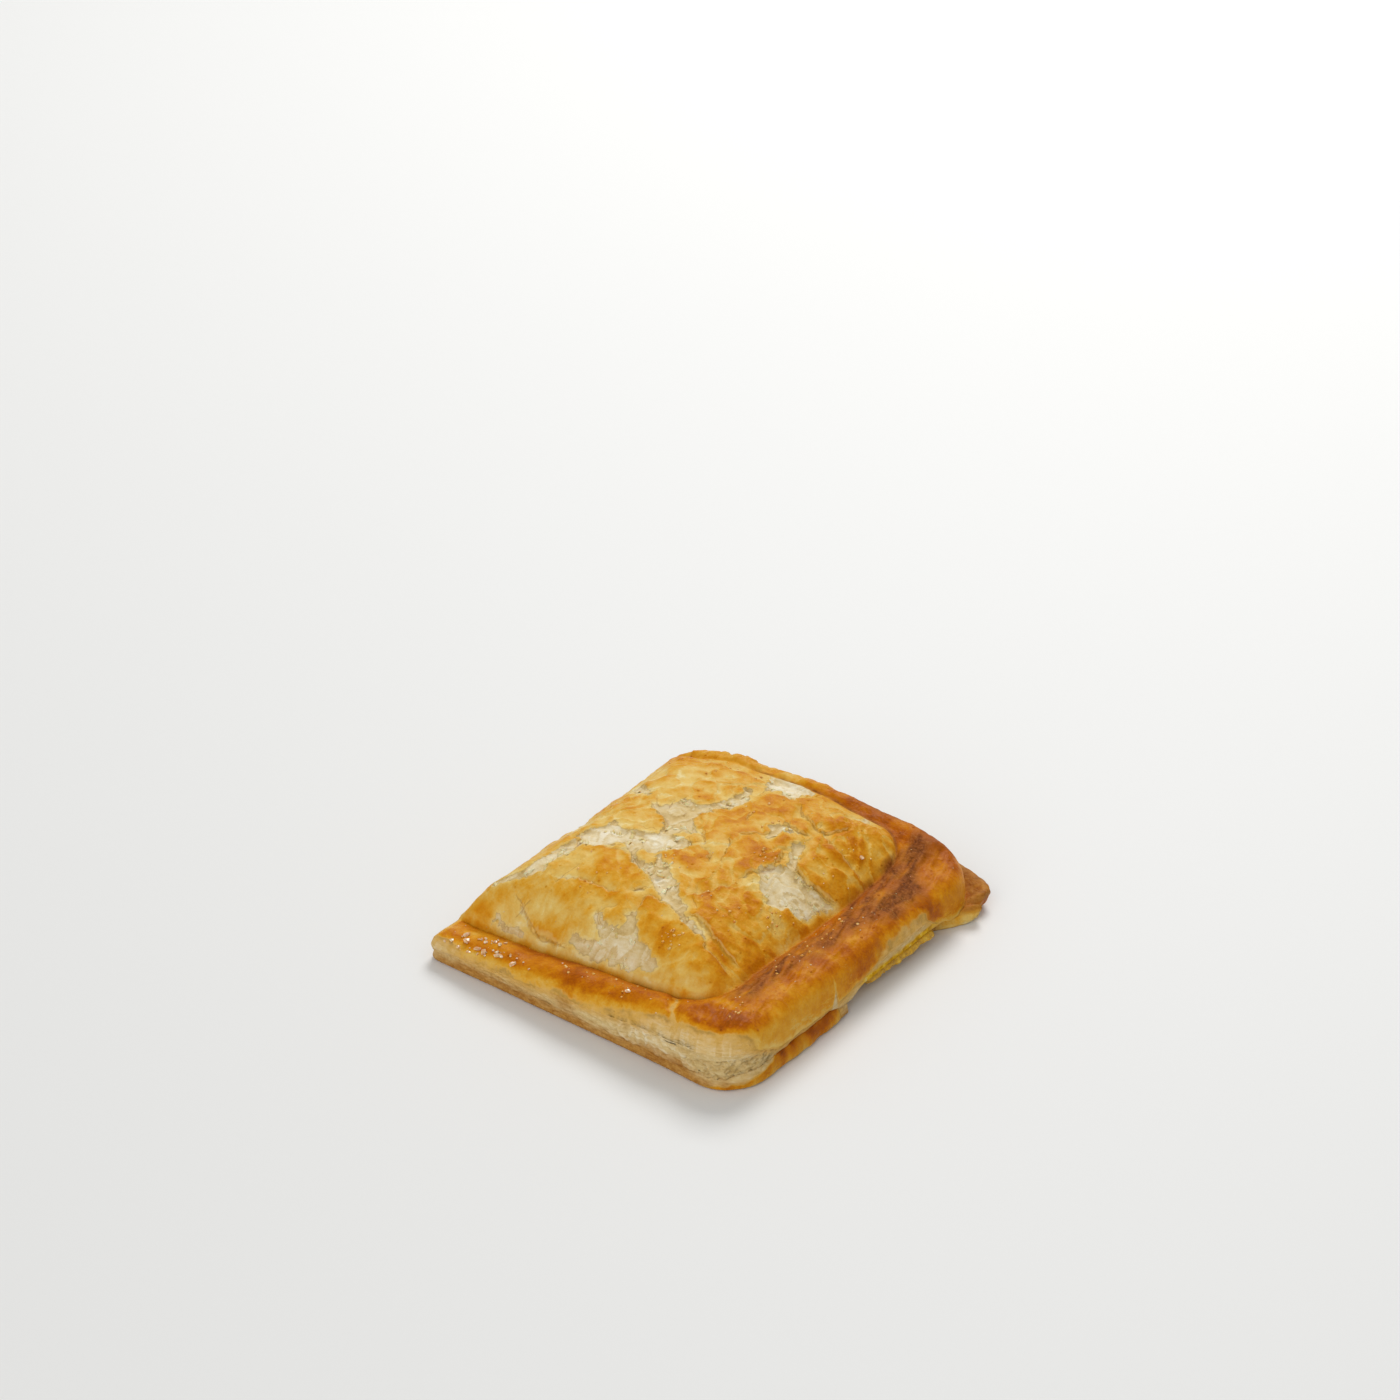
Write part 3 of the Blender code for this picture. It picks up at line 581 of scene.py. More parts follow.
def surfaceFields(x, y):
    fields = {"crease": creaseDistance(x, y), "edge": edgeDistance(x, y)}
    fields["crack"], fields["crackLine"] = crackField(x, y)
    fields["tear"] = tearField(x, y) + 4 * (1 - smoothStep(fields["crease"], -0.3, 0.5))
    fields["ledge"], fields["ledgeGap"], fields["ledgeSide"] = ledgeField(x, y)
    fields["leaf"] = leafSteps(x, y, 11.0, 2.4, 211)
    fields["flake"] = leafSteps(x, y, 5.5, 2.0, 223)
    fields["puff"] = layeredNoise(x + 0.8 * latticeNoise(x, y, 3.0, 227), y, 4.6, 229, 3)
    # the plates along the front are smoother than the crumpled ones behind them
    fields["rough"] = 0.35 + 0.65 * smoothStep(y + 0.25 * x, -30, -10) * (1 - 0.4 * smoothStep(-x, 30, 42))
    return fields


def domeRelief(x, y, fields):
    tear, crack, crease, rough = fields["tear"], fields["crack"], fields["crease"], fields["rough"]
    sheets = layeredNoise(x * 0.8 + y * 0.5, y * 0.9 - x * 0.3, 5.0, 77, 2)
    floor = 0.5 * sheets + 0.15 * layeredNoise(x, y, 2.2, 79, 3) + 0.5 * leafRelief(fields["flake"], 0.86)
    floor = floor - 0.55 * smoothStep(-tear, -0.2, 0.5) - 0.45 * smoothStep(-tear, 0.3, 2.0)
    floor = floor * (0.45 + 0.55 * rough)
    nearest = np.minimum(np.maximum(tear, 0), np.maximum(crack, 0) + 0.5)
    nearest = np.minimum(nearest, np.minimum(crease, fields["ledgeGap"] + 0.3))
    puff = 0.62 * (1 - np.exp(-np.maximum(nearest, 0) / 1.8)) - 0.3 + (0.35 + 0.5 * rough) * fields["puff"]
    puff = puff + 0.6 * rough * leafRelief(fields["leaf"], 0.88)
    curl = 0.45 * bump(tear, 0.35, 0.55) * (0.6 + 0.7 * latticeNoise(x, y, 3.0, 81))
    wrinkles = 0.24 * layeredNoise(x, y, 2.8, 83, 3)
    wrinkles = wrinkles + 0.15 * layeredNoise(x * 0.55 - y * 0.85, (x * 0.85 + y * 0.55) * 0.35, 1.1, 89, 2)
    inside = smoothStep(-tear, -0.2, 0.35)
    return inside * floor + (1 - inside) * (curl + puff + wrinkles + fields["ledge"])


def rimRelief(x, y, fields):
    edge, crease = fields["edge"], fields["crease"]
    bumps = 0.45 * layeredNoise(x, y, 7.0, 97, 3) + 0.30 * fields["puff"] + 0.10 * layeredNoise(x, y, 1.5, 101, 2)
    valley = smoothStep(x, 40, 43) * (1 - smoothStep(crease, -2.0, -0.5)) * smoothStep(edge, 3.0, 6.0)
    creases = 0.75 * layeredNoise(x * 1.3 + y * 0.3, y * 0.3, 1.9, 103, 2)
    creases = creases + 0.3 * layeredNoise(x * 1.5 + y * 0.5, y * 0.4, 1.1, 175, 2)
    relief = smoothStep(edge, 0.0, 3.0) * (bumps + valley * creases)
    relief = relief - 0.8 * bump(np.maximum(foldLine(x, y), 0), 0, 0.9)
    # at the back left the rim is as flaky as the dome
    flaky = 0.6 * leafRelief(fields["leaf"], 0.88) + 0.7 * layeredNoise(x, y, 3.2, 177, 3)
    relief = relief + backLeftShare(x, y) * smoothStep(edge, 0.0, 2.0) * flaky
    backRight = smoothStep(y, 50, 56) * smoothStep(x, 0, 14) * smoothStep(edge, 0.5, 2.5)
    relief = relief + 0.4 * backRight * layeredNoise(x, y, 4.0, 179, 3)
    cornerFold = pathDistance(x, y, ((42.5, -48.5, 0.0), (48, -54, 0.1), (53, -60, 0.2)))
    return relief - 0.3 * bump(cornerFold, 0, 0.9)


def backLeftShare(x, y):
    # at the back left the dome runs out over the rim
    return smoothStep(y, 50, 55) * (1 - smoothStep(x, -2, 18))


def dressedHeight(x, y, fields):
    crease, edge = fields["crease"], fields["edge"]
    onDome = smoothStep(crease, 0.2, 1.6)
    z = plainHeight(x, y) + onDome * (domeRelief(x, y, fields) - 0.2 * bump(np.maximum(fields["crack"], 0), 0, 0.7))
    z = z - spotSum(x, y, dents)
    # the groove between dome and rim, and the dome's raised foot beside it
    atBack, atRight = smoothStep(y, 50, 56), smoothStep(x, 37, 41)
    z = z - 0.75 * bump(crease, -0.25, 0.6) * smoothStep(edge, 1, 4) * (1 - 0.55 * atRight) * (1 - 0.8 * atBack)
    z = z + 0.45 * bump(crease, 1.0, 0.7) * (1 - smoothStep(x, 36, 40)) * (1 - atBack)
    z = z + 1.8 * backLeftShare(x, y) * bump(crease, -1.0, 3.2)
    z = z + (1 - smoothStep(crease, -2.0, -0.5)) * rimRelief(x, y, fields)
    return smoothMin(z, pastry["domeTop"], 0.8)


def hexColour(code):
    def linear(value):
        return value / 12.92 if value <= 0.04045 else ((value + 0.055) / 1.055) ** 2.4
    channels = [int(code[k:k + 2], 16) / 255 for k in (1, 3, 5)]
    return tuple(linear(c) for c in channels) + (1.0,)


def addNode(tree, kind, *values, output=0, ramp=None, sockets=None, **settings):
    # values go to the inputs in order, sockets to inputs by number, and an output given as a value is linked
    node = tree.nodes.new("ShaderNode" + kind)
    if kind == "Math":
        node.operation = "MULTIPLY_ADD" if len(values) == 3 else "MULTIPLY"
    for key, value in settings.items():
        setattr(node, key, value)
    for k, value in list(enumerate(values)) + list((sockets or {}).items()):
        if isinstance(value, bpy.types.NodeSocket):
            tree.links.new(value, node.inputs[k])
        elif value is not None:
            node.inputs[k].default_value = value
    if ramp:
        elements = node.color_ramp.elements
        elements.remove(elements[1])
        elements[0].position, elements[0].color = ramp[0][0], hexColour(ramp[0][1])
        for position, code in ramp[1:]:
            elements.new(position).color = hexColour(code)
    return node.outputs[output]


def setShader(material, **inputs):
    # each of the shader's sockets gets a constant or is linked to a node's output
    tree = material.node_tree
    for key, value in inputs.items():
        socket = tree.nodes["Principled BSDF"].inputs[key.replace("_", " ")]
        if isinstance(value, bpy.types.NodeSocket):
            tree.links.new(value, socket)
        else:
            socket.default_value = value


def newMaterial(name, **constants):
    material = bpy.data.materials.new(name)
    material.use_nodes = True
    setShader(material, **constants)
    return material, partial(addNode, material.node_tree)


# What every crust mesh tells its material at each point, and the value where a piece gives none
looks = {"tear": 8.0, "crack": 4.0, "line": 2.0, "brown": 0.5, "stain": 0.0, "ledge": 3.0, "glazed": 4.0, "toast": 0.0,
         "wall": 0.0, "white": 0.0, "soak": 0.0}
smooth = {"interpolation_type": "SMOOTHSTEP"}
minus = {"operation": "SUBTRACT"}
ofColours = {"output": 2, "data_type": "RGBA"}


# Egg-glazed puff pastry, baked: the glaze gives a thin, faintly glossy golden skin, the bare dough under it is matt and
# creamy
crust = {
    "glazeRamp": ((0.0, "#EBD697"), (0.13, "#E5C26C"), (0.28, "#E0B354"), (0.42, "#DCA02E"), (0.55, "#D48C12"),
                  (0.68, "#C57400"), (0.8, "#AF5A00"), (0.92, "#924400"), (1.0, "#662A04")),
    "doughRamp": ((0.0, "#A08044"), (0.28, "#C8A96C"), (0.52, "#DBC18A"), (0.78, "#E7D6AE"), (1.0, "#F2E8CE")),
    "toastRamp": ((0.0, "#7A4312"), (0.35, "#A06726"), (0.65, "#C08C40"), (1.0, "#DAB068")),
    "stainRamp": ((0.0, "#4E2008"), (0.3, "#884C20"), (0.6, "#B27238"), (1.0, "#D0944E")),
    "soakRamp": ((0.3, "#A87008"), (0.48, "#D49E10"), (0.6, "#E6BC34"), (0.72, "#E8D490")),
    "thinGlaze": "#E4C272",
    "wallTinge": "#DCA640",
    "stepShadow": "#95702F",
    # painted highlight along the plates' raised edges
    "plateEdgeHighlight": "#E6C476",
    "underPlate": "#A46E22",
    # painted shade inside the cracks
    "crackLine": "#965A14",
    "shine": 0.06,
    "patternMm": ((6.0, 4.0, 0.6), (2.6, 4.0, 0.62), (0.8, 3.0, 0.6)),  # size, detail and roughness: broad, coarse, fine
    "blisterMm": 2.4,
    "leafMm": 3.2,  # pastry leaves are about 0.1 to 0.3 mm thick; drawn coarser so that they show
    "reliefMm": 0.6,
}


def makeCrust(name):
    material, add = newMaterial(name, Specular_IOR_Level=crust["shine"])
    place = add("TexCoord", output=3)
    tear, crack, line, brown, stain, ledge, glazed, toast, wall, white, soak = (
        add("Attribute", output=2, attribute_name=look) for look in looks)
    broad, coarse, fine = (add("TexNoise", place, None, 1 / (size * mm), detail, roughness)
                           for size, detail, roughness in crust["patternMm"])
    flat = add("Mapping", place, sockets={3: (1.0, 1.0, 4.0)})
    leaf = add("TexNoise", flat, None, 1 / (crust["leafMm"] * mm), 5.0, 0.62, sockets={8: 0.5})
    ragged = add("Math", coarse, 1.8, add("Math", fine, 1.1, add("Math", tear, 1.45, **minus)))
    torn = add("MapRange", ragged, 0.12, -0.12, **smooth)
    bareEdge = add("Math", coarse, 1.6, add("Math", glazed, 0.8, **minus))
    bare = add("MapRange", bareEdge, 0.35, -0.25, **smooth)

    # glaze colour: baked darker on high spots and thin edges, lighter where it runs out
    baked = brown
    for pattern, strength in ((broad, 0.22), (coarse, 0.32), (fine, 0.22)):
        baked = add("Math", pattern, strength, add("Math", baked, strength / 2, **minus))
    baked = add("Math", baked, add("MapRange", bareEdge, 2.2, 0.2, 0.0, 0.20, **smooth), **minus)
    cells, cellColour = (add("TexVoronoi", place, None, 1 / (crust["blisterMm"] * mm), output=k) for k in (0, 1))
    blister = add("MapRange", cells, 0.24, 0.05, **smooth)
    blister = add("Math", blister, add("MapRange", add("SeparateColor", cellColour), 0.78, 0.82))
    blister = add("Math", blister, add("Math", 1.0, torn, **minus))
    baked = add("Math", blister, 0.14, baked)
    stainTone = add("Math", coarse, 0.9, add("Math", fine, 1.1, -0.45))
    stainTone = add("Math", stainTone, add("Math", stain, 0.35), **minus)
    stained = add("MapRange", stain, 0.05, 0.9, 0.0, 0.85)
    film = add("MapRange", ragged, 0.8, 0.05, 0.0, 0.45, **smooth)

    # bare dough: creamy leaves, whiter where they have just torn, with painted shade just inside each tear's edge where
    # the plates overhang
    tone = add("Mix", wall, output=0, sockets={2: broad, 3: leaf}, data_type="FLOAT")
    tone = add("Math", tone, 0.5, add("Math", leaf, 0.6))
    tone = add("Math", tone, 1.0, add("Math", fine, 0.35, -0.27))
    # painted shade: the dough darkens just inside each tear's edge
    tearEdgeShade = add("Math", add("MapRange", ragged, -0.9, -0.05, 0.0, 0.14, **smooth), torn)
    dough = add("ValToRGB", add("Math", add("Math", tone, 1.0, white), tearEdgeShade, **minus), ramp=crust["doughRamp"])
    # on the walls the glaze tinges it, with a broken shadow line right under the glaze's edge
    tinge = add("MapRange", bareEdge, -4.0, 0.0, 0.0, 0.8, **smooth)
    step = add("Math", add("MapRange", bareEdge, 0.1, -0.2), add("MapRange", bareEdge, -0.9, -0.35))
    step = add("Math", step, add("MapRange", broad, 0.42, 0.58, 0.0, 0.5))
    tinted = dough
    for share, tint in ((tinge, "wallTinge"), (step, "stepShadow")):
        tinted = add("Mix", share, sockets={6: tinted, 7: hexColour(crust[tint])}, **ofColours)

    # the plates' edges: a painted highlight along the raised side, a painted shade line on the low side, and thin
    # cracks painted dark as the shade inside them
    lip = add("Math", add("MapRange", ledge, -0.08, 0.08), add("MapRange", ledge, 0.65, 0.25))
    under = add("Math", add("MapRange", ledge, 0.05, -0.1), add("MapRange", ledge, -0.75, -0.2))
    # the cracks' dark middle line and dark fill are painted shade inside them
    thread = add("Math", fine, 0.25, add("Math", line, operation="ABSOLUTE"))
    thread = add("MapRange", thread, 0.38, 0.14, 0.0, 0.34, **smooth)
    thread = add("Math", thread, add("MapRange", crack, 0.7, 0.3))
    split = add("MapRange", add("Math", fine, 0.4, crack), 0.12, -0.12, 0.0, 0.42, **smooth)
    split = add("Math", split, thread, operation="MAXIMUM")

    # dry toasted colour at the foot of the sides; on the right, fat from the filling has soaked the lowest layers
    toasted = add("ValToRGB", add("Math", leaf, 0.9, add("Math", fine, 0.6, -0.25)), ramp=crust["toastRamp"])
    toastEdge = add("Math", coarse, 0.5, add("Math", toast, 0.25, **minus))
    soaked = add("ValToRGB", coarse, ramp=crust["soakRamp"])

    # each layer covers a share of the ones before it
    colour = add("ValToRGB", baked, ramp=crust["glazeRamp"])
    for share, layer in (
            (stained, add("ValToRGB", stainTone, ramp=crust["stainRamp"])),
            (film, hexColour(crust["thinGlaze"])), (torn, dough), (bare, tinted),
            # painted highlight on the plates' raised edges, then painted shade on their low side and inside the cracks
            (add("Math", lip, 0.5), hexColour(crust["plateEdgeHighlight"])),
            (add("Math", under, 0.4), hexColour(crust["underPlate"])),
            (split, hexColour(crust["crackLine"])),
            (add("MapRange", toastEdge, 0.0, 1.0, 0.0, 0.95), toasted), (soak, soaked)):
        colour = add("Mix", share, sockets={6: colour, 7: layer}, **ofColours)

    # relief finer than the mesh
    height = add("Math", fine, 0.42)
    for pattern, strength in ((coarse, 0.6), (blister, 0.45), (add("Math", leaf, wall), 1.0), (torn, -0.35),
                              (split, -0.3), (add("Math", fine, stain), 0.5)):
        height = add("Math", pattern, strength, height)
    gloss = add("Math", coarse, 0.25, add("Math", add("Math", torn, bare, operation="MAXIMUM"), 0.32, 0.26))
    setShader(material, Base_Color=colour, Normal=add("Bump", 0.8, crust["reliefMm"] * mm, None, height),
              Roughness=add("Math", stain, 0.18, gloss))
    return material


# Cooked beef and onion in gravy: moist and lumpy, mustard yellow where the fat has soaked the dough
meat = {"ramp": ((0.0, "#80520E"), (0.3, "#B58310"), (0.55, "#D9A514"), (0.8, "#E8BE30"), (1.0, "#EED27C")),
        "patternMm": (2.4, 0.7), "reliefMm": 0.7}


def makeFilling():
    material, add = newMaterial("beef and onion filling", Roughness=0.42, Specular_IOR_Level=0.5)
    place = add("TexCoord", output=3)
    coarse, fine = (add("TexNoise", place, None, 1 / (size * mm), 3.0, 0.6) for size in meat["patternMm"])
    tone = add("Math", coarse, 1.3, add("Math", fine, 0.5, -0.38))
    relief = add("Bump", 0.7, meat["reliefMm"] * mm, None, add("Math", coarse, 1.0, fine))
    setShader(material, Base_Color=add("ValToRGB", tone, ramp=meat["ramp"]), Normal=relief)
    return material


# Small things that lie on the crust: pattern size, the pattern's detail, its colours and the shader's constants
smallLooks = {
    # coarse salt under a little glaze: clear pinkish lumps with bright edges
    "coarse salt": (1.2, 2.0, ((0.25, "#BE8448"), (0.45, "#D8B080"), (0.62, "#E6CCA8"), (0.85, "#F2E4CC")),
                    (0.2, 0.6, 0.35, 0.0012)),
    # single leaves of baked dough, thin and creamy, toasted at the tips
    "thin pastry leaf": (3.0, 3.0, ((0.25, "#CFA45A"), (0.42, "#E0C684"), (0.6, "#EBDBAE"), (0.8, "#F3E9CB")),
                         (0.6, 0.35, 0.15, 0.001)),
    # glaze that bubbled up as it baked: small amber beads with a gloss
    "glaze blister": (5.0, 2.0, ((0.3, "#CB8220"), (0.5, "#DFA64A"), (0.72, "#EDC883")), (0.25, 0.5, 0.2, 0.001)),
}


def makeSmall(name, reliefMm=0.0):
    size, detail, ramp, constants = smallLooks[name]
    keys = ("Roughness", "Specular_IOR_Level", "Subsurface_Weight", "Subsurface_Scale")
    material, add = newMaterial(name, **dict(zip(keys, constants)))
    place = add("TexCoord", output=3)
    setShader(material, Base_Color=add("ValToRGB", add("TexNoise", place, None, 1 / (size * mm), detail), ramp=ramp))
    if reliefMm:
        grain = add("TexNoise", place, None, 1 / (0.7 * mm), 3.0)
        setShader(material, Normal=add("Bump", 0.4, reliefMm * mm, None, grain))
    return material


def finishPiece(mesh, name, material, replaced=None):
    mesh.materials.append(material)
    mesh.shade_smooth()
    piece = bpy.data.objects.new(name, mesh)
    bpy.context.scene.collection.objects.link(piece)
    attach(piece, "root")
    if replaced:
        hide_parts(replaced)
    print(name, len(mesh.polygons), "faces")
    return piece


def meshFrom(bm, name):
    mesh = bpy.data.meshes.new(name)
    bm.to_mesh(mesh)
    bm.free()
    return mesh


def meshPoints(mesh):
    flat = np.empty(len(mesh.vertices) * 3)
    mesh.vertices.foreach_get("co", flat)
    return flat.reshape(-1, 3).T


def placePoints(mesh, x, y, z):
    mesh.vertices.foreach_set("co", (np.stack((x, y, z), axis=1) * mm).ravel())
    mesh.update()


def borderEdges(parts):
    return [part for part in parts if isinstance(part, bmesh.types.BMEdge) and part.is_boundary]


def growBorder(bm, border):
    grown = bmesh.ops.extrude_edge_only(bm, edges=border)["geom"]
    return [part for part in grown if isinstance(part, bmesh.types.BMVert)], borderEdges(grown)


def growRings(bm, count):
    # extrudes the open border outward ring by ring; z keeps the ring's number until the points are placed
    border = borderEdges(bm.edges)
    for ring in range(1, count + 1):
        verts, border = growBorder(bm, border)
        for vert in verts:
            vert.co.z = ring
    bmesh.ops.edgeloop_fill(bm, edges=border)


def closeStrip(mesh, inward=1.0):
    # the two ends of the strip meet at one seam, then both rims are closed inside the pie
    bm = bmesh.new()
    bm.from_mesh(mesh)
    bmesh.ops.remove_doubles(bm, verts=[vert for vert in bm.verts if vert.is_boundary], dist=1e-7)
    if inward < 1.0:
        cx, cy = pastry["centre"]
        for vert in growBorder(bm, borderEdges(bm.edges))[0]:
            middle = Vector((cx * mm, cy * mm, vert.co.z))
            vert.co = middle + (vert.co - middle) * inward
    bmesh.ops.holes_fill(bm, edges=borderEdges(bm.edges), sides=0)
    bmesh.ops.recalc_face_normals(bm, faces=bm.faces)
    bm.to_mesh(mesh)
    bm.free()


# Where bare dough is whiter or duller: x, y, reach along x and y, change of tone
doughTone = (
    (-27, -10, 6, 5, 0.34), (-11, -4, 7, 4, 0.34), (1.5, -20.5, 4, 2, 0.3), (-4, 52, 8, 8, 0.34),
    (-7, 26, 3, 5, 0.22), (-33, -26, 4, 6, 0.25), (29, 3, 9, 6, 0.16), (6, -43.3, 10, 1.6, 0.1),
    (3, -39, 5, 2, -0.12), (1.5, -36, 2, 2, -0.06), (-15, 12, 6, 6, -0.06), (-12, 8, 4, 3, 0.05),
    (9, -25.5, 5, 1.5, -0.02), (21, -31, 3, 1, -0.06), (14, 24.5, 3, 1.5, 0.2), (27, 10, 3, 1.6, -0.04),
    (22.5, 14, 1.5, 1.5, 0.05), (-38, 20, 6, 4, 0.15),
)


def writeLooks(mesh, **values):
    for name, value in {**looks, **values}.items():
        layer = mesh.attributes.new(name, "FLOAT", "POINT")
        layer.data.foreach_set("value", np.broadcast_to(np.asarray(value, np.float32), len(mesh.vertices)).copy())


def wallBrown(angle, x, y):
    degrees = np.degrees(angle)
    brown = 0.56 + 0.12 * layeredNoise(x, y, 6.0, 105, 3) - 0.12 * window(degrees, -46, -38, -26, -14)
    brown = brown + 0.24 * window(degrees, -14, 0, 30, 42) - 0.12 * smoothStep(np.abs(degrees), 120, 150)
    return brown + 0.20 * bump(degrees, -93, 5) - 0.10 * bump(degrees, -50, 8)


# Toasted foot of the front: x, and how high it reaches above the plate
toastedFoot = (
    (-56.0, 1.3), (-45.0, 3.0), (-30.0, 4.0), (-12.0, 2.9), (0.0, 3.4), (10.0, 2.8), (20.0, 3.6), (30.0, 4.9),
    (36.0, 5.4), (43.0, 4.4), (50.0, 2.6), (60.0, 1.8),
)


def toastShare(x, y, z, degrees):
    front = window(degrees, -137, -130, -52, -44)
    height = front * tableValue(x, toastedFoot) + (1 - front) * (2.2 + 0.8 * latticeNoise(x, y, 9.0, 131))
    ragged = 1.1 * layeredNoise(x + y, 1.5 * z, 4.0, 133, 3) + 0.4 * latticeNoise(x + y, 2 * z, 1.1, 135)
    share = 1 - smoothStep(z + ragged, height - 2.0, height + 3.0)
    # a toasted streak that climbs the wall near the middle of the front, and brown grains along its left half
    streakPlace = x + 0.15 * (z - 4) + 1.2 * latticeNoise(x, z, 3.0, 153)
    streak = 0.62 * front * bump(streakPlace, -1.8, 3.4 + 0.2 * (9 - z))
    grains = (0.42 + 0.16 * latticeNoise(x, z, 5.0, 147)) * front * (1 - smoothStep(x, -14, -4))
    return np.maximum(np.maximum(share, streak), grains * (1 - 0.7 * smoothStep(z, 3.8, 6.0)))


# Lid skin: the glazed top; its edge runs down the sides as far as the glaze does and is closed inside the pie
lidSkin = {
    "cells": 280,
    "edgeMm": 0.7,
    # one column for each ring from the top's border: share of the way down, and how far out it bulges
    "down": (0.0, 0.18, 0.42, 0.68, 0.9, 1.0, 1.0, 0.9, 0.5),
    "out": (0.0, 0.10, 0.16, 0.14, 0.08, -0.02, -0.42, -8.0, -30.0),
}


def buildLidSkin(material):
    bm = bmesh.new()
    bmesh.ops.create_grid(bm, x_segments=lidSkin["cells"], y_segments=lidSkin["cells"], size=1.0)
    growRings(bm, len(lidSkin["down"]) - 1)
    mesh = meshFrom(bm, "lid_skin")
    u, v, ring = meshPoints(mesh)
    k = np.round(ring).astype(int)
    onWall = k > 0
    reach = np.max(np.abs(np.stack((u, v))), axis=0)
    safe = np.maximum(reach, 1e-6)
    angle = direction(*quadPoint(u / safe, v / safe))
    rim = outlineRadius(angle)
    edgeX, edgeY = polar(angle, rim)
    topX, topY = polar(angle, rim * reach)
    fields = surfaceFields(topX, topY)
    crease, edge = fields["crease"], fields["edge"]
    top, low = edgeHeight(edgeX, edgeY), lidUnderside(edgeX, edgeY)
    offset = glazeOffset(edgeX, edgeY, angle)
    drop = lidSkin["edgeMm"] + np.maximum(-offset, 0) + 0.25 * layeredNoise(edgeX, edgeY, 2.0, 107, 2)
    drop = np.minimum(drop, 0.8 * (top - low))
    share, bulge = np.array(lidSkin["down"])[k], np.array(lidSkin["out"])[k]
    waves = 0.22 * layeredNoise(edgeX + 3 * share, edgeY - 3 * share, 3.0, 109, 3)
    waves = waves * np.where((k > 0) & (k < 7), share + 0.2, 0)
    wallX, wallY = polar(angle, rim + bulge + waves)
    x, y = np.where(onWall, wallX, topX), np.where(onWall, wallY, topY)
    z = np.where(onWall, top - drop * share, dressedHeight(topX, topY, fields))
    glazed = np.where(onWall, -drop * share, edge) - offset
    # where the front's glaze ends on the top, torn strands of dough show
    front = window(edgeX, 4, 10, 44, 50) * smoothStep(-edgeY, 50, 56)
    front = front * smoothStep(-glazed - 0.35 * latticeNoise(edgeX, edgeY, 3.0, 173), 0.3, 0.8)
    strands = layeredNoise(edgeX * 1.3 + 0.5 * z, 0.35 * z, 2.2, 171, 3)
    z = z - front * (0.35 - 0.5 * np.abs(strands)) * (1 - onWall)
    placePoints(mesh, x, y, z)
    glazed = np.minimum(glazed, 0.4 + 1.6 * np.maximum(foldLine(x, y), -0.6) + 4 * smoothStep(crease, -1.5, 0))
    blend = smoothStep(edge, 0.0, 3.0) * (1 - onWall)
    toast = toastShare(edgeX, edgeY, z, np.degrees(angle))
    # white: the spots of whiter or duller dough, and a painted highlight that whitens each flake toward its raised edge
    writeLooks(
        mesh, wall=smoothStep(-glazed, -0.2, 1.0) * (1 - smoothStep(edge, 4.0, 6.0)), tear=np.clip(fields["tear"], -8, 8),
        crack=np.clip(fields["crack"], -1, 4), line=np.clip(fields["crackLine"], -2, 2),
        brown=wallBrown(angle, edgeX, edgeY) * (1 - blend) + brownField(x, y, fields) * blend,
        stain=stainField(x, y, crease) * (1 - onWall), ledge=np.clip(fields["ledgeSide"] * fields["ledgeGap"], -3, 3),
        glazed=np.clip(glazed, -6, 6), white=spotSum(x, y, doughTone) + 0.12 + 0.30 * (0.45 - fields["flake"]),
        toast=np.where(onWall, toast, 0))
    return finishPiece(mesh, "lid_skin", material, "pastry_lid")


# Edges of the films that hang down the thick part of the front: x and height above the plate, with half the width
wallFilms = (
    ((19.5, 9.2, 0.1), (18.2, 7.4, 0.2), (18.8, 5.4, 0.2), (21.4, 4.6, 0.1)),
    ((22.6, 9.6, 0.1), (23.4, 7.8, 0.2), (22.8, 6.2, 0.1)),
    ((25.2, 9.8, 0.1), (24.8, 8.0, 0.2), (26.0, 6.0, 0.2), (25.6, 4.8, 0.1)),
    ((28.4, 9.6, 0.2), (29.0, 7.6, 0.2), (28.0, 5.6, 0.1)),
    ((31.0, 10.2, 0.1), (31.6, 8.4, 0.3), (33.6, 6.8, 0.3), (37.0, 6.0, 0.1)),
    ((34.0, 9.6, 0.2), (38.0, 8.4, 0.3), (43.0, 8.0, 0.1)),
    ((12.0, 7.0, 0.1), (15.0, 6.2, 0.2), (17.4, 6.6, 0.1)),
    ((34.5, 4.6, 0.1), (38.0, 3.8, 0.2), (41.0, 4.4, 0.1)),
)


def filmRidges(x, z):
    nearest = np.full_like(x, 9.0)
    wx, wz = x + 0.5 * latticeNoise(x, z, 1.8, 165), z + 0.5 * latticeNoise(x, z, 1.8, 167)
    for path in wallFilms:
        nearest = np.minimum(nearest, pathDistance(wx, wz, path))
    return bump(np.maximum(nearest, 0), 0, 0.4)


def filmStrands(x, z, degrees):
    # where loose films hang along the thick part of the front, and their strands
    return window(degrees, -80, -74, -58, -52), np.abs(latticeNoise(x * 1.1 + 0.45 * z, x * 0.1 + 0.3 * z, 2.4, 117))


# Side layers: the pale leaves between the glaze and the bottom sheet
sideLayers = {"around": 1500, "rings": 32, "leafMm": 1.5}


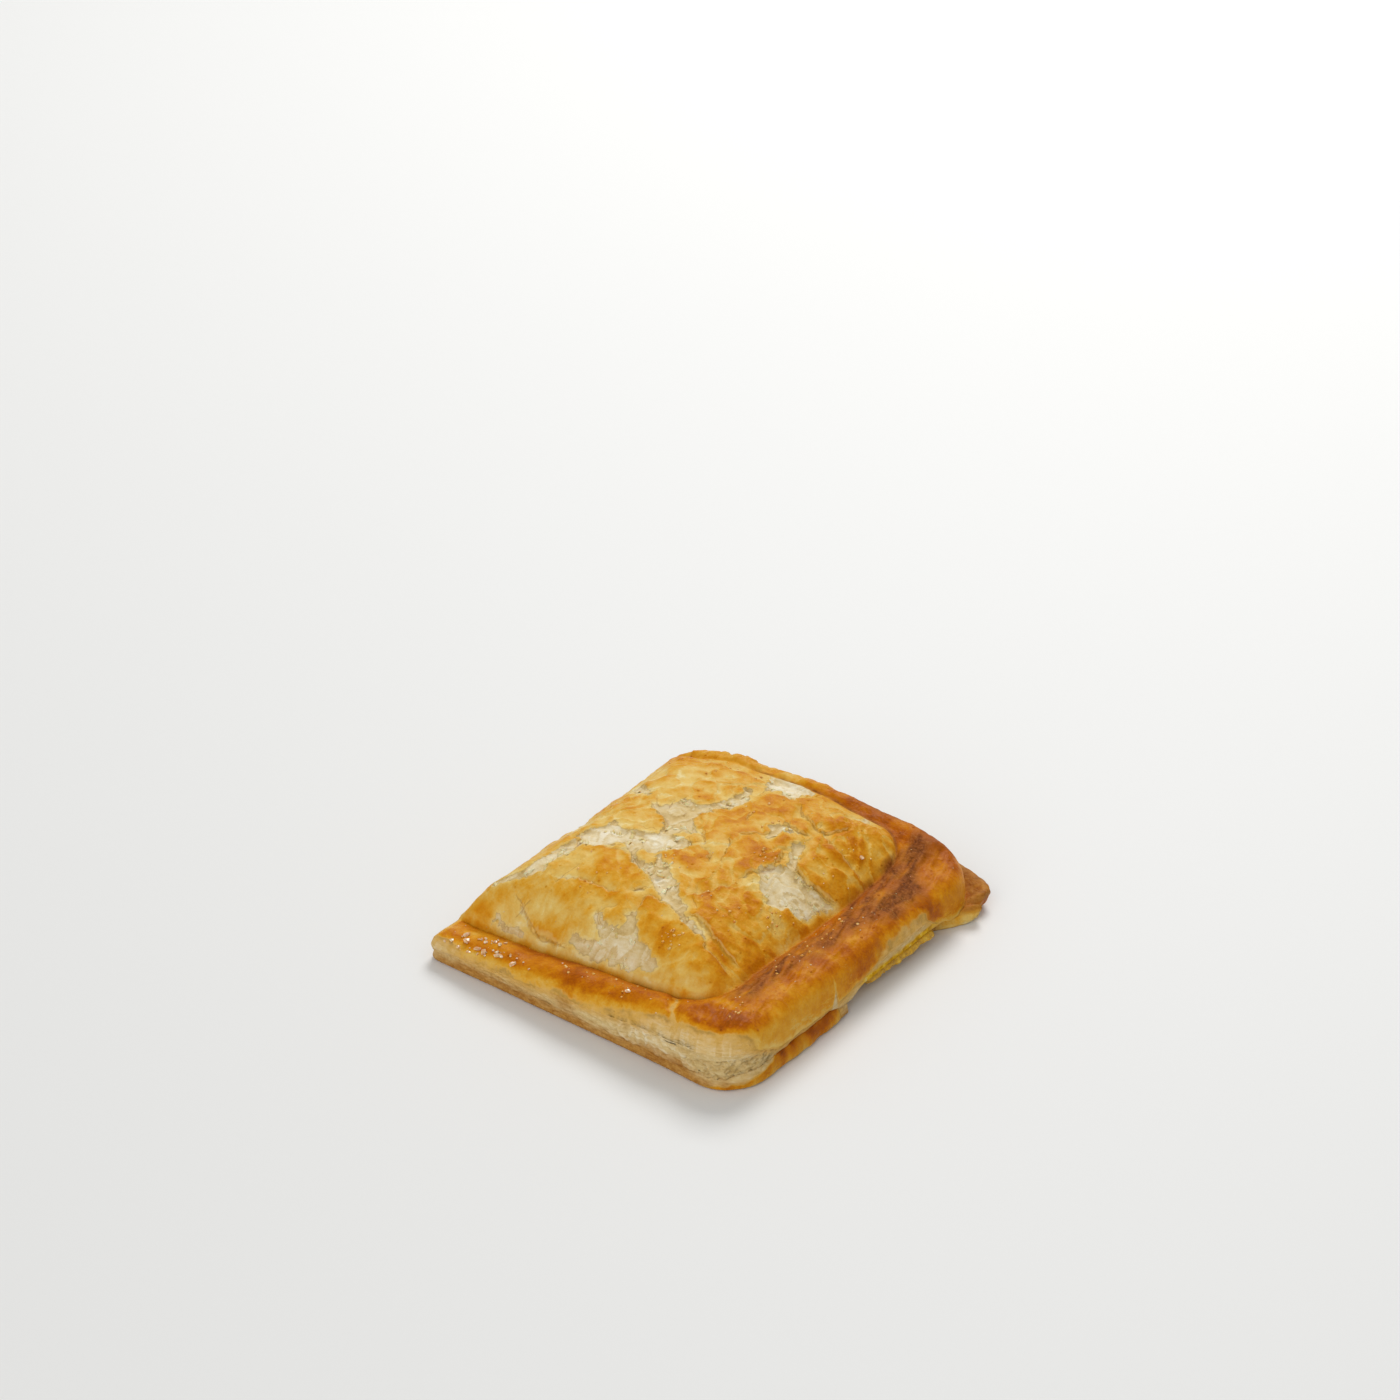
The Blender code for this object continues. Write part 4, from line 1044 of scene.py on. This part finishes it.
def buildSideLayers(material):
    bm = bmesh.new()
    bmesh.ops.create_grid(bm, x_segments=sideLayers["around"], y_segments=sideLayers["rings"], size=1.0)
    mesh = meshFrom(bm, "side_layers")
    u, v, _ = meshPoints(mesh)
    angle, h = u * math.pi, (v + 1) / 2
    rim = outlineRadius(angle)
    edgeX, edgeY = polar(angle, rim)
    top, low = edgeHeight(edgeX, edgeY), lidUnderside(edgeX, edgeY)
    z = low + (top - low) * h * 0.96
    wave = layeredNoise(edgeX + 2 * z, edgeY - 2 * z, 9.0, 111, 2)
    leaf = np.sin(2 * math.pi * (z / sideLayers["leafMm"] + 0.9 * wave))
    broken = smoothStep(layeredNoise(edgeX + z, edgeY - z, 3.5, 113, 3), -0.2, 0.35)
    degrees = np.degrees(angle)
    # below the glaze's edge the dough lies a little further in
    under = smoothStep(np.minimum(top + glazeOffset(edgeX, edgeY, angle), top - 0.5) - z, -0.2, 0.8)
    shift = 0.05 + under * (0.17 * leaf * broken - 0.22)
    shift = shift + 0.26 * layeredNoise(edgeX + 2 * z, edgeY + 2 * z, 2.6, 115, 3) - 0.35 * smoothStep(h, 0.9, 1.0)
    films, strands = filmStrands(edgeX, z, degrees)
    hollow = bump(z - top + 0.6 * latticeNoise(edgeX, z, 5.0, 169), -1.9, 0.5)
    film = 0.5 * smoothStep(strands, 0.25, 0.6) - 0.15 + 0.55 * filmRidges(edgeX, z) - 0.7 * hollow
    shift = shift + films * under * film
    near = window(degrees, -60, -54, -40, -34) * (1 - smoothStep(h, 0.6, 0.85))
    holes = np.abs(latticeNoise(edgeX + z, edgeY - 1.4 * z, 1.2, 127))
    shift = shift - near * 0.8 * smoothStep(holes, 0.2, 0.55)
    shift = shift - 0.5 * lipWindow(edgeX, edgeY) * (1 - smoothStep(z - low, 0.0, 2.0))
    placePoints(mesh, *polar(angle, rim + shift), z)
    closeStrip(mesh, 0.94)
    x, y, z = meshPoints(mesh) / mm
    angle = direction(x, y)
    degrees = np.degrees(angle)
    edgeX, edgeY = outlinePoint(angle)
    sliver = bump(degrees, -14.5, 0.8)
    glazed = z - edgeHeight(edgeX, edgeY) - glazeOffset(edgeX, edgeY, angle) - 5 * sliver
    films, strands = filmStrands(edgeX, z, degrees)
    white = 0.12 * bump(degrees, -66, 9) - 0.08 * bump(degrees, -48, 8) * (1 - smoothStep(z, 8, 10)) + 0.1 * sliver
    # on the hanging films the strands and ridges are paler, and the darker gaps between the strands are painted shade
    white = white + films * (0.16 * (smoothStep(strands, 0.1, 0.7) - 0.5) + 0.16 * filmRidges(edgeX, z))
    soak = window(edgeY, -3, 3, 34, 42) * smoothStep(edgeX, 40, 50)
    soak = soak * (1 - smoothStep(z + 0.8 * layeredNoise(edgeY, z, 3.0, 145, 2), 7.0, 8.4))
    writeLooks(mesh, brown=wallBrown(angle, edgeX, edgeY) - 0.12, glazed=np.clip(glazed, -6, 6), wall=1.0, white=white,
               toast=toastShare(edgeX, edgeY, z, degrees) * (1 - soak), soak=soak)
    return finishPiece(mesh, "side_layers", material, "pastry_lid")


# Bottom sheet
bottomSheet = {
    "around": 1200,
    # direction in degrees, and how far the sheet reaches past the lid's outline there
    "reach": ((-180.0, -0.6), (-60.0, -0.4), (-47.0, 0.6), (-40.0, 1.4), (-14.0, 1.4), (-9.0, 0.6), (-5.0, -6.5),
              (38.0, -6.5), (40.5, 0.5), (42.5, 6.0), (44.5, 4.0), (48.0, 8.0), (54.0, 8.0), (60.0, 9.0), (65.0, 2.0),
              (70.0, -0.6), (180.0, -0.6)),
    # one row for each ring: inset on the plain edge and on the lip or flap, height on the plain edge and on the flap,
    # share of the lip
    "rings": (
        (1.9, 2.2, 0.0, 0.0, 0.0), (0.75, 1.2, 0.15, 1.6, 0.0), (0.3, 0.5, 0.6, 3.6, 0.0),
        (0.12, 0.1, 1.1, 4.4, 0.25), (0.3, 0.0, 1.7, 5.0, 0.5), (0.5, 0.25, 2.4, 5.7, 0.7),
        (0.45, 0.7, 3.0, 6.1, 0.9), (0.5, 1.3, 3.4, 6.2, 1.0), (1.2, 2.0, 3.7, 6.2, 1.0), (3.6, 3.6, 3.6, 5.6, 1.0),
        (5.2, 5.2, 3.4, 4.6, 1.0), (8.0, 8.0, 3.4, 3.5, 1.0), (13.0, 13.0, 3.4, 3.4, 0.0)),
    # direction in degrees, and the height where the lip ends there
    "lipTop": ((-56, 0.8), (-50, 1.5), (-45, 2.2), (-40, 4.0), (-35, 5.4), (-28, 8.0)),
}


def buildBottomSheet(material):
    rings = np.array(bottomSheet["rings"])
    last = len(rings) - 1
    bm = bmesh.new()
    bmesh.ops.create_grid(bm, x_segments=bottomSheet["around"], y_segments=last, size=1.0)
    mesh = meshFrom(bm, "bottom_sheet")
    u, v, _ = meshPoints(mesh)
    angle = u * math.pi
    k = np.round((v + 1) / 2 * last).astype(int)
    plainInset, lipInset, plainZ, flapZ, lipShare = rings[k].T
    reach = tableValue(np.degrees(angle), bottomSheet["reach"])
    flap = smoothStep(reach, 3.0, 6.5)
    rim = outlineRadius(angle)
    edgeX, edgeY = polar(angle, rim)
    special = np.clip(smoothStep(reach, 0.0, 1.2) + smoothStep(-reach, 1.0, 3.0), 0, 1)
    crinkle = 0.38 * layeredNoise(edgeX, edgeY, 4.0, 137, 4) + 0.25 * latticeNoise(edgeX, edgeY, 11.0, 139)
    inset = plainInset * (1 - special) + lipInset * special + np.where(k == 0, 9.5 * flap, 0)
    inset = inset + crinkle * (0.35 + 1.1 * special) * (1 - smoothStep(inset, 0.5, 3.0))
    z = plainZ + pastry["lipRise"] * lipWindow(edgeX, edgeY) * lipShare + flap * (flapZ - plainZ)
    waves = 0.22 * layeredNoise(edgeX, edgeY, 3.0, 149, 2) * (0.25 + 0.4 * special + flap)
    z = z + np.where((k > 2) & (k < 9), waves, 0)
    shift = np.where(k == last, -13.0, reach + 0.35 * (1 - special) - inset)
    placePoints(mesh, *polar(angle, rim + shift), np.maximum(z, 0.0))
    closeStrip(mesh)
    x, y, z = meshPoints(mesh) / mm
    angle = direction(x, y)
    degrees = np.degrees(angle)
    edgeX, edgeY = outlinePoint(angle)
    lipTop = tableValue(degrees, bottomSheet["lipTop"]) + 0.5 * layeredNoise(x, y, 2.5, 159, 2)
    lipZone = window(degrees, -56, -50, -17, -10) * smoothStep(z, 0.1, 0.6)
    lipZone = lipZone * (1 - smoothStep(z, lipTop - 0.4, lipTop + 0.5))
    flap = window(degrees, 37.0, 39.5, 64, 69) * (1 - smoothStep(depthInside(x, y), 3.0, 6.0))
    coated = np.clip(lipZone + flap, 0, 1)
    brown = 0.56 + 0.16 * smoothStep(z, 2.0, 4.5) - 0.18 * (1 - smoothStep(z, 0.6, 1.8))
    brown = brown + 0.30 * layeredNoise(x, y, 2.6, 141, 3) + 0.04 * flap
    brown = brown - 0.34 * bump(degrees, 42.0, 3.5) * (1 - smoothStep(z, 3.2, 5.2))
    toast = np.maximum(toastShare(edgeX, edgeY, z, degrees), 0.5 * (1 - smoothStep(z, 0.4, 1.0))) * (1 - coated)
    for share in (0.9 * (1 - smoothStep(z, 0.0, 0.3)), 0.7 * flap * smoothStep(z, 3.0, 4.8)):
        toast = np.maximum(toast, share)
    stain = 0.25 * flap * smoothStep(z, 2.6, 4.6) + 0.22 * lipZone * smoothStep(z, 1.4, 3.0)
    writeLooks(mesh, brown=brown, glazed=7 * coated - 3, toast=toast, wall=1.0, stain=stain)
    return finishPiece(mesh, "bottom_sheet", material, "pastry_base")


# Filling: a slab between lid and bottom sheet whose ragged edge shows along the right side
fillingLayer = {"cells": (90, 200), "margin": 4.5, "sag": 0.9, "middleY": 1.5, "halfLength": 44.0, "leftX": -40.0,
                "innerX": 44.0, "rightX": 45.0, "reach": 14.2}


def buildFillingLayer(material):
    bm = bmesh.new()
    bmesh.ops.create_grid(bm, x_segments=fillingLayer["cells"][0], y_segments=fillingLayer["cells"][1], size=1.0)
    growRings(bm, 3)
    bmesh.ops.recalc_face_normals(bm, faces=bm.faces)
    mesh = meshFrom(bm, "filling_layer")
    u, v, ring = meshPoints(mesh)
    k = np.round(ring).astype(int)
    y = fillingLayer["middleY"] + fillingLayer["halfLength"] * v
    nowhere = np.zeros_like(y)
    leftX, innerX = fillingLayer["leftX"] - 2.0 * (1 - v * v), fillingLayer["innerX"]
    opening = mouthWindow(nowhere + 60.0, y, fillingLayer["margin"])
    ragged = 0.8 * layeredNoise(y, nowhere, 4.5, 151, 4) + 0.3 * latticeNoise(y, nowhere, 0.9, 155)
    rightX = fillingLayer["rightX"] + opening * (fillingLayer["reach"] + ragged)
    # most of the grid's columns lie near the edge that shows
    reach = (u + 1) / 2
    x = np.where(reach < 0.55, leftX + (innerX - leftX) * reach / 0.6, innerX + (rightX - innerX) * (reach - 0.6) / 0.4)
    mouthZ = pastry["baseThickness"] + (pastry["mouthRise"] - 0.2) * opening
    z = mouthZ + (pastry["ceiling"] - pastry["gap"] - mouthZ) * recessShare(x, y, 2.1)
    onMouth = smoothStep(u, 0.9, 1.0) * opening
    sag = fillingLayer["sag"] * smoothStep(opening, 0.88, 1.0) * smoothStep(u, 0.985, 1.0)
    floor = pastry["baseThickness"] + pastry["gap"] - sag
    lumps = layeredNoise(y, 2.5 * z, 1.5, 157, 3)
    swell = np.array((0.0, 0.5, 0.35, -0.6))[k] + 0.4 * lumps * onMouth
    x = x + swell * onMouth * (k > 0)
    drop = np.array((0.15, 0.35, 0.72, 1.0))[k] * (np.maximum(np.abs(u), np.abs(v)) > 0.999)
    z = z + (floor - z) * drop + 0.2 * lumps * onMouth * (k < 3)
    placePoints(mesh, x, y, z)
    return finishPiece(mesh, "filling_layer", material, "filling")


# Coarse crystals: x, y, size, the same as the solids' lumps; the last one is a light crumb
saltLumps = ((-45.0, -53.2, 2.6), (-43.0, -55.9, 3.0), (-37.6, -57.3, 2.4), (-34.4, -57.6, 2.6),
             (-29.6, -57.5, 2.6), (-23.4, -57.9, 2.4), (17.8, -56.3, 2.0), (34.4, 35.0, 2.0))
salt = {"small": 34, "specks": 90, "seed": 5}


def surfaceHeight(x, y):
    x, y = np.atleast_1d(np.asarray(x, float)), np.atleast_1d(np.asarray(y, float))
    return dressedHeight(x, y, surfaceFields(x, y))


def placed(rng, x, y, z):
    return Matrix.Scale(mm, 4) @ Matrix.Translation((x, y, z)) @ Matrix.Rotation(rng.uniform(0, fullTurn), 4, "Z")


def buildSalt(material):
    rng = random.Random(salt["seed"])
    spots = [(x + rng.uniform(-0.3, 0.3), y + rng.uniform(-0.3, 0.3), size) for x, y, size in saltLumps]
    for _ in range(salt["small"]):
        x = rng.gauss(-36, 8)
        spots.append((min(max(x, -52), 5), rng.uniform(-59.2, -51.5) - 0.02 * x, rng.uniform(0.6, 1.5)))
    while len(spots) < len(saltLumps) + salt["small"] + salt["specks"]:
        x, y = rng.uniform(-50, 56), rng.uniform(-60, 55)
        if rng.random() < (1.0 if creaseDistance(np.array([x]), np.array([y]))[0] < 1 else 0.35):
            spots.append((x, y, rng.uniform(0.35, 0.7)))
    bm = bmesh.new()
    for (x, y, size), z in zip(spots, surfaceHeight([s[0] for s in spots], [s[1] for s in spots])):
        made = bmesh.ops.create_icosphere(bm, subdivisions=1, radius=0.55)["verts"]
        for vert in made:
            vert.co *= rng.uniform(0.72, 1.15)
        place = placed(rng, x, y, z + 0.15 * size) @ Matrix.Rotation(rng.uniform(-0.5, 0.5), 4, "X")
        shape = Matrix.Diagonal((size, size * rng.uniform(0.5, 0.85), size * rng.uniform(0.35, 0.6), 1))
        bmesh.ops.transform(bm, matrix=place @ shape, verts=made)
    mesh = meshFrom(bm, "salt_crystals")
    piece = finishPiece(mesh, "salt_crystals", material)
    mesh.shade_flat()
    return piece


# Glaze blisters: middle x, y, spread along x and y, how many
blisterSpots = (
    (18, -37, 4, 2.5, 18), (33, -8, 4, 4, 12), (-4, -11, 4, 3, 10), (17, 10, 5, 4, 10), (-20, -30, 8, 6, 8),
    (10, 30, 12, 10, 12), (26, -22, 6, 6, 8), (52, -50, 4, 4, 8), (46, -5, 4, 20, 16), (8, -54, 24, 2.5, 14),
    (-25, 45, 14, 8, 8), (32, 32, 5, 10, 8),
)
blisters = {"sizes": (0.5, 1.2), "flatness": 0.6, "seed": 13}


def buildBlisters(material):
    rng = random.Random(blisters["seed"])
    spots = []
    for mx, my, spreadX, spreadY, count in blisterSpots:
        for _ in range(count):
            x, y = mx + rng.gauss(0, spreadX * 0.6), my + rng.gauss(0, spreadY * 0.6)
            spots.append((x, y, rng.uniform(*blisters["sizes"])))
    x, y = np.array([s[0] for s in spots]), np.array([s[1] for s in spots])
    keep = (tearField(x, y) > 0.8) & (edgeDistance(x, y) > 2.0)
    bm = bmesh.new()
    for (px, py, size), pz, kept in zip(spots, surfaceHeight(x, y), keep):
        if not kept:
            continue
        made = bmesh.ops.create_icosphere(bm, subdivisions=1, radius=0.5)["verts"]
        shape = Matrix.Diagonal((size * rng.uniform(0.9, 1.3), size, size * blisters["flatness"], 1))
        bmesh.ops.transform(bm, matrix=placed(rng, px, py, pz + 0.03) @ shape, verts=made)
    return finishPiece(meshFrom(bm, "glaze_blisters"), "glaze_blisters", material)


# Loose leaves of pastry lying in the tears
leaves = {"inTears": 120, "seed": 9, "thickMm": 0.12, "slopeStep": 1.5}


def addLeaf(bm, rng, size, bend, place):
    made = bmesh.ops.create_grid(bm, x_segments=5, y_segments=4, size=0.5)["verts"]
    long, wide = size, size * rng.uniform(0.45, 0.8)
    skew = rng.uniform(-0.4, 0.4)
    # the border is nicked by a different share in each eighth of the way round
    nicks = [rng.uniform(0.65, 1.0) for _ in range(8)]
    for vert in made:
        x, y = vert.co.x, vert.co.y
        edge = nicks[int((math.atan2(y, x) + math.pi) / 6.2832 * 7.99)]
        x, y = x * edge, y * edge
        vert.co = ((x + skew * y) * long, y * wide, bend * size * (4 * x * x - 0.5) + 0.1 * size * math.sin(9 * y + skew))
    bmesh.ops.solidify(bm, geom=list(bm.faces), thickness=leaves["thickMm"])
    bmesh.ops.transform(bm, matrix=place, verts=bm.verts)


def buildLeaves(material):
    rng = random.Random(leaves["seed"])
    spots = []
    while len(spots) < leaves["inTears"]:
        x, y = rng.uniform(-48, 40), rng.uniform(-46, 58)
        px, py = np.array([x]), np.array([y])
        if -3.0 < tearField(px, py)[0] < -0.1 and creaseDistance(px, py)[0] > 1.0:
            spots.append((x, y))
    x, y = np.array(spots).T
    step = leaves["slopeStep"]
    heights = [surfaceHeight(x + dx, y + dy) for dx, dy in ((0, 0), (step, 0), (0, step))]
    bm = bmesh.new()
    for (x, y), z, zx, zy in zip(spots, *heights):
        normal = Vector((-(zx - z) / step, -(zy - z) / step, 1)).normalized()
        turn = normal.to_track_quat("Z", "X").to_matrix().to_4x4() @ Matrix.Rotation(rng.uniform(0, fullTurn), 4, "Z")
        turn = turn @ Matrix.Rotation(rng.uniform(-0.35, 0.35), 4, "X")
        leaf = bmesh.new()
        place = Matrix.Scale(mm, 4) @ Matrix.Translation((x, y, z + leaves["thickMm"])) @ turn
        addLeaf(leaf, rng, rng.uniform(1.0, 3.2), rng.uniform(-0.1, 0.14), place)
        scratch = meshFrom(leaf, "leaf")
        bm.from_mesh(scratch)
        bpy.data.meshes.remove(scratch)
    bmesh.ops.recalc_face_normals(bm, faces=bm.faces)
    return finishPiece(meshFrom(bm, "pastry_leaves"), "pastry_leaves", material)


# Camera and light: position and aim in millimetres in the pie's frame
view = {"camera": (682.88, -898.66, 720.66), "aim": (-44.3, 59.4, 38.0), "lens": 115.71}
studio = {
    "key": ((-0.45, 1.1, 1.15), 0.7, 16.0),
    "fill": ((0.3, -1.6, 0.9), 1.6, 13.0),
    "world": 0.46,
    "floor": "#E6E6E4",
}


def addToScene(name, data, place=(0, 0, 0), aim=None):
    added = bpy.data.objects.new(name, data)
    added.location = place
    if aim is not None:
        added.rotation_euler = (aim - Vector(place)).to_track_quat("-Z", "Y").to_euler()
    bpy.context.scene.collection.objects.link(added)
    return added


def buildStudio():
    scene = bpy.context.scene
    data = bpy.data.cameras.new("camera")
    data.lens, data.sensor_width = view["lens"], 36.0
    scene.camera = addToScene("camera", data, Vector(view["camera"]) * mm, Vector(view["aim"]) * mm)
    for name in ("key", "fill"):
        place, size, power = studio[name]
        lamp = bpy.data.lights.new(name, "AREA")
        lamp.size, lamp.energy = size, power
        addToScene(name, lamp, place, Vector())
    scene.world = bpy.data.worlds.new("studio")
    scene.world.use_nodes = True
    background = scene.world.node_tree.nodes["Background"].inputs
    background["Color"].default_value = (1, 1, 1, 1)
    background["Strength"].default_value = studio["world"]
    bm = bmesh.new()
    bmesh.ops.create_grid(bm, x_segments=1, y_segments=1, size=4.0)
    mesh = meshFrom(bm, "floor")
    material, _ = newMaterial("pale floor", Roughness=0.6, Base_Color=hexColour(studio["floor"]))
    mesh.materials.append(material)
    floor = addToScene("floor", mesh)
    scene.view_settings.view_transform = "Standard"


buildStudio()
crustMaterial = makeCrust("egg glazed puff pastry")
buildLidSkin(crustMaterial)
buildSideLayers(crustMaterial)
buildBottomSheet(makeCrust("browned pastry sheet"))
buildFillingLayer(makeFilling())
buildSalt(makeSmall("coarse salt"))
buildBlisters(makeSmall("glaze blister"))
buildLeaves(makeSmall("thin pastry leaf", reliefMm=0.3))
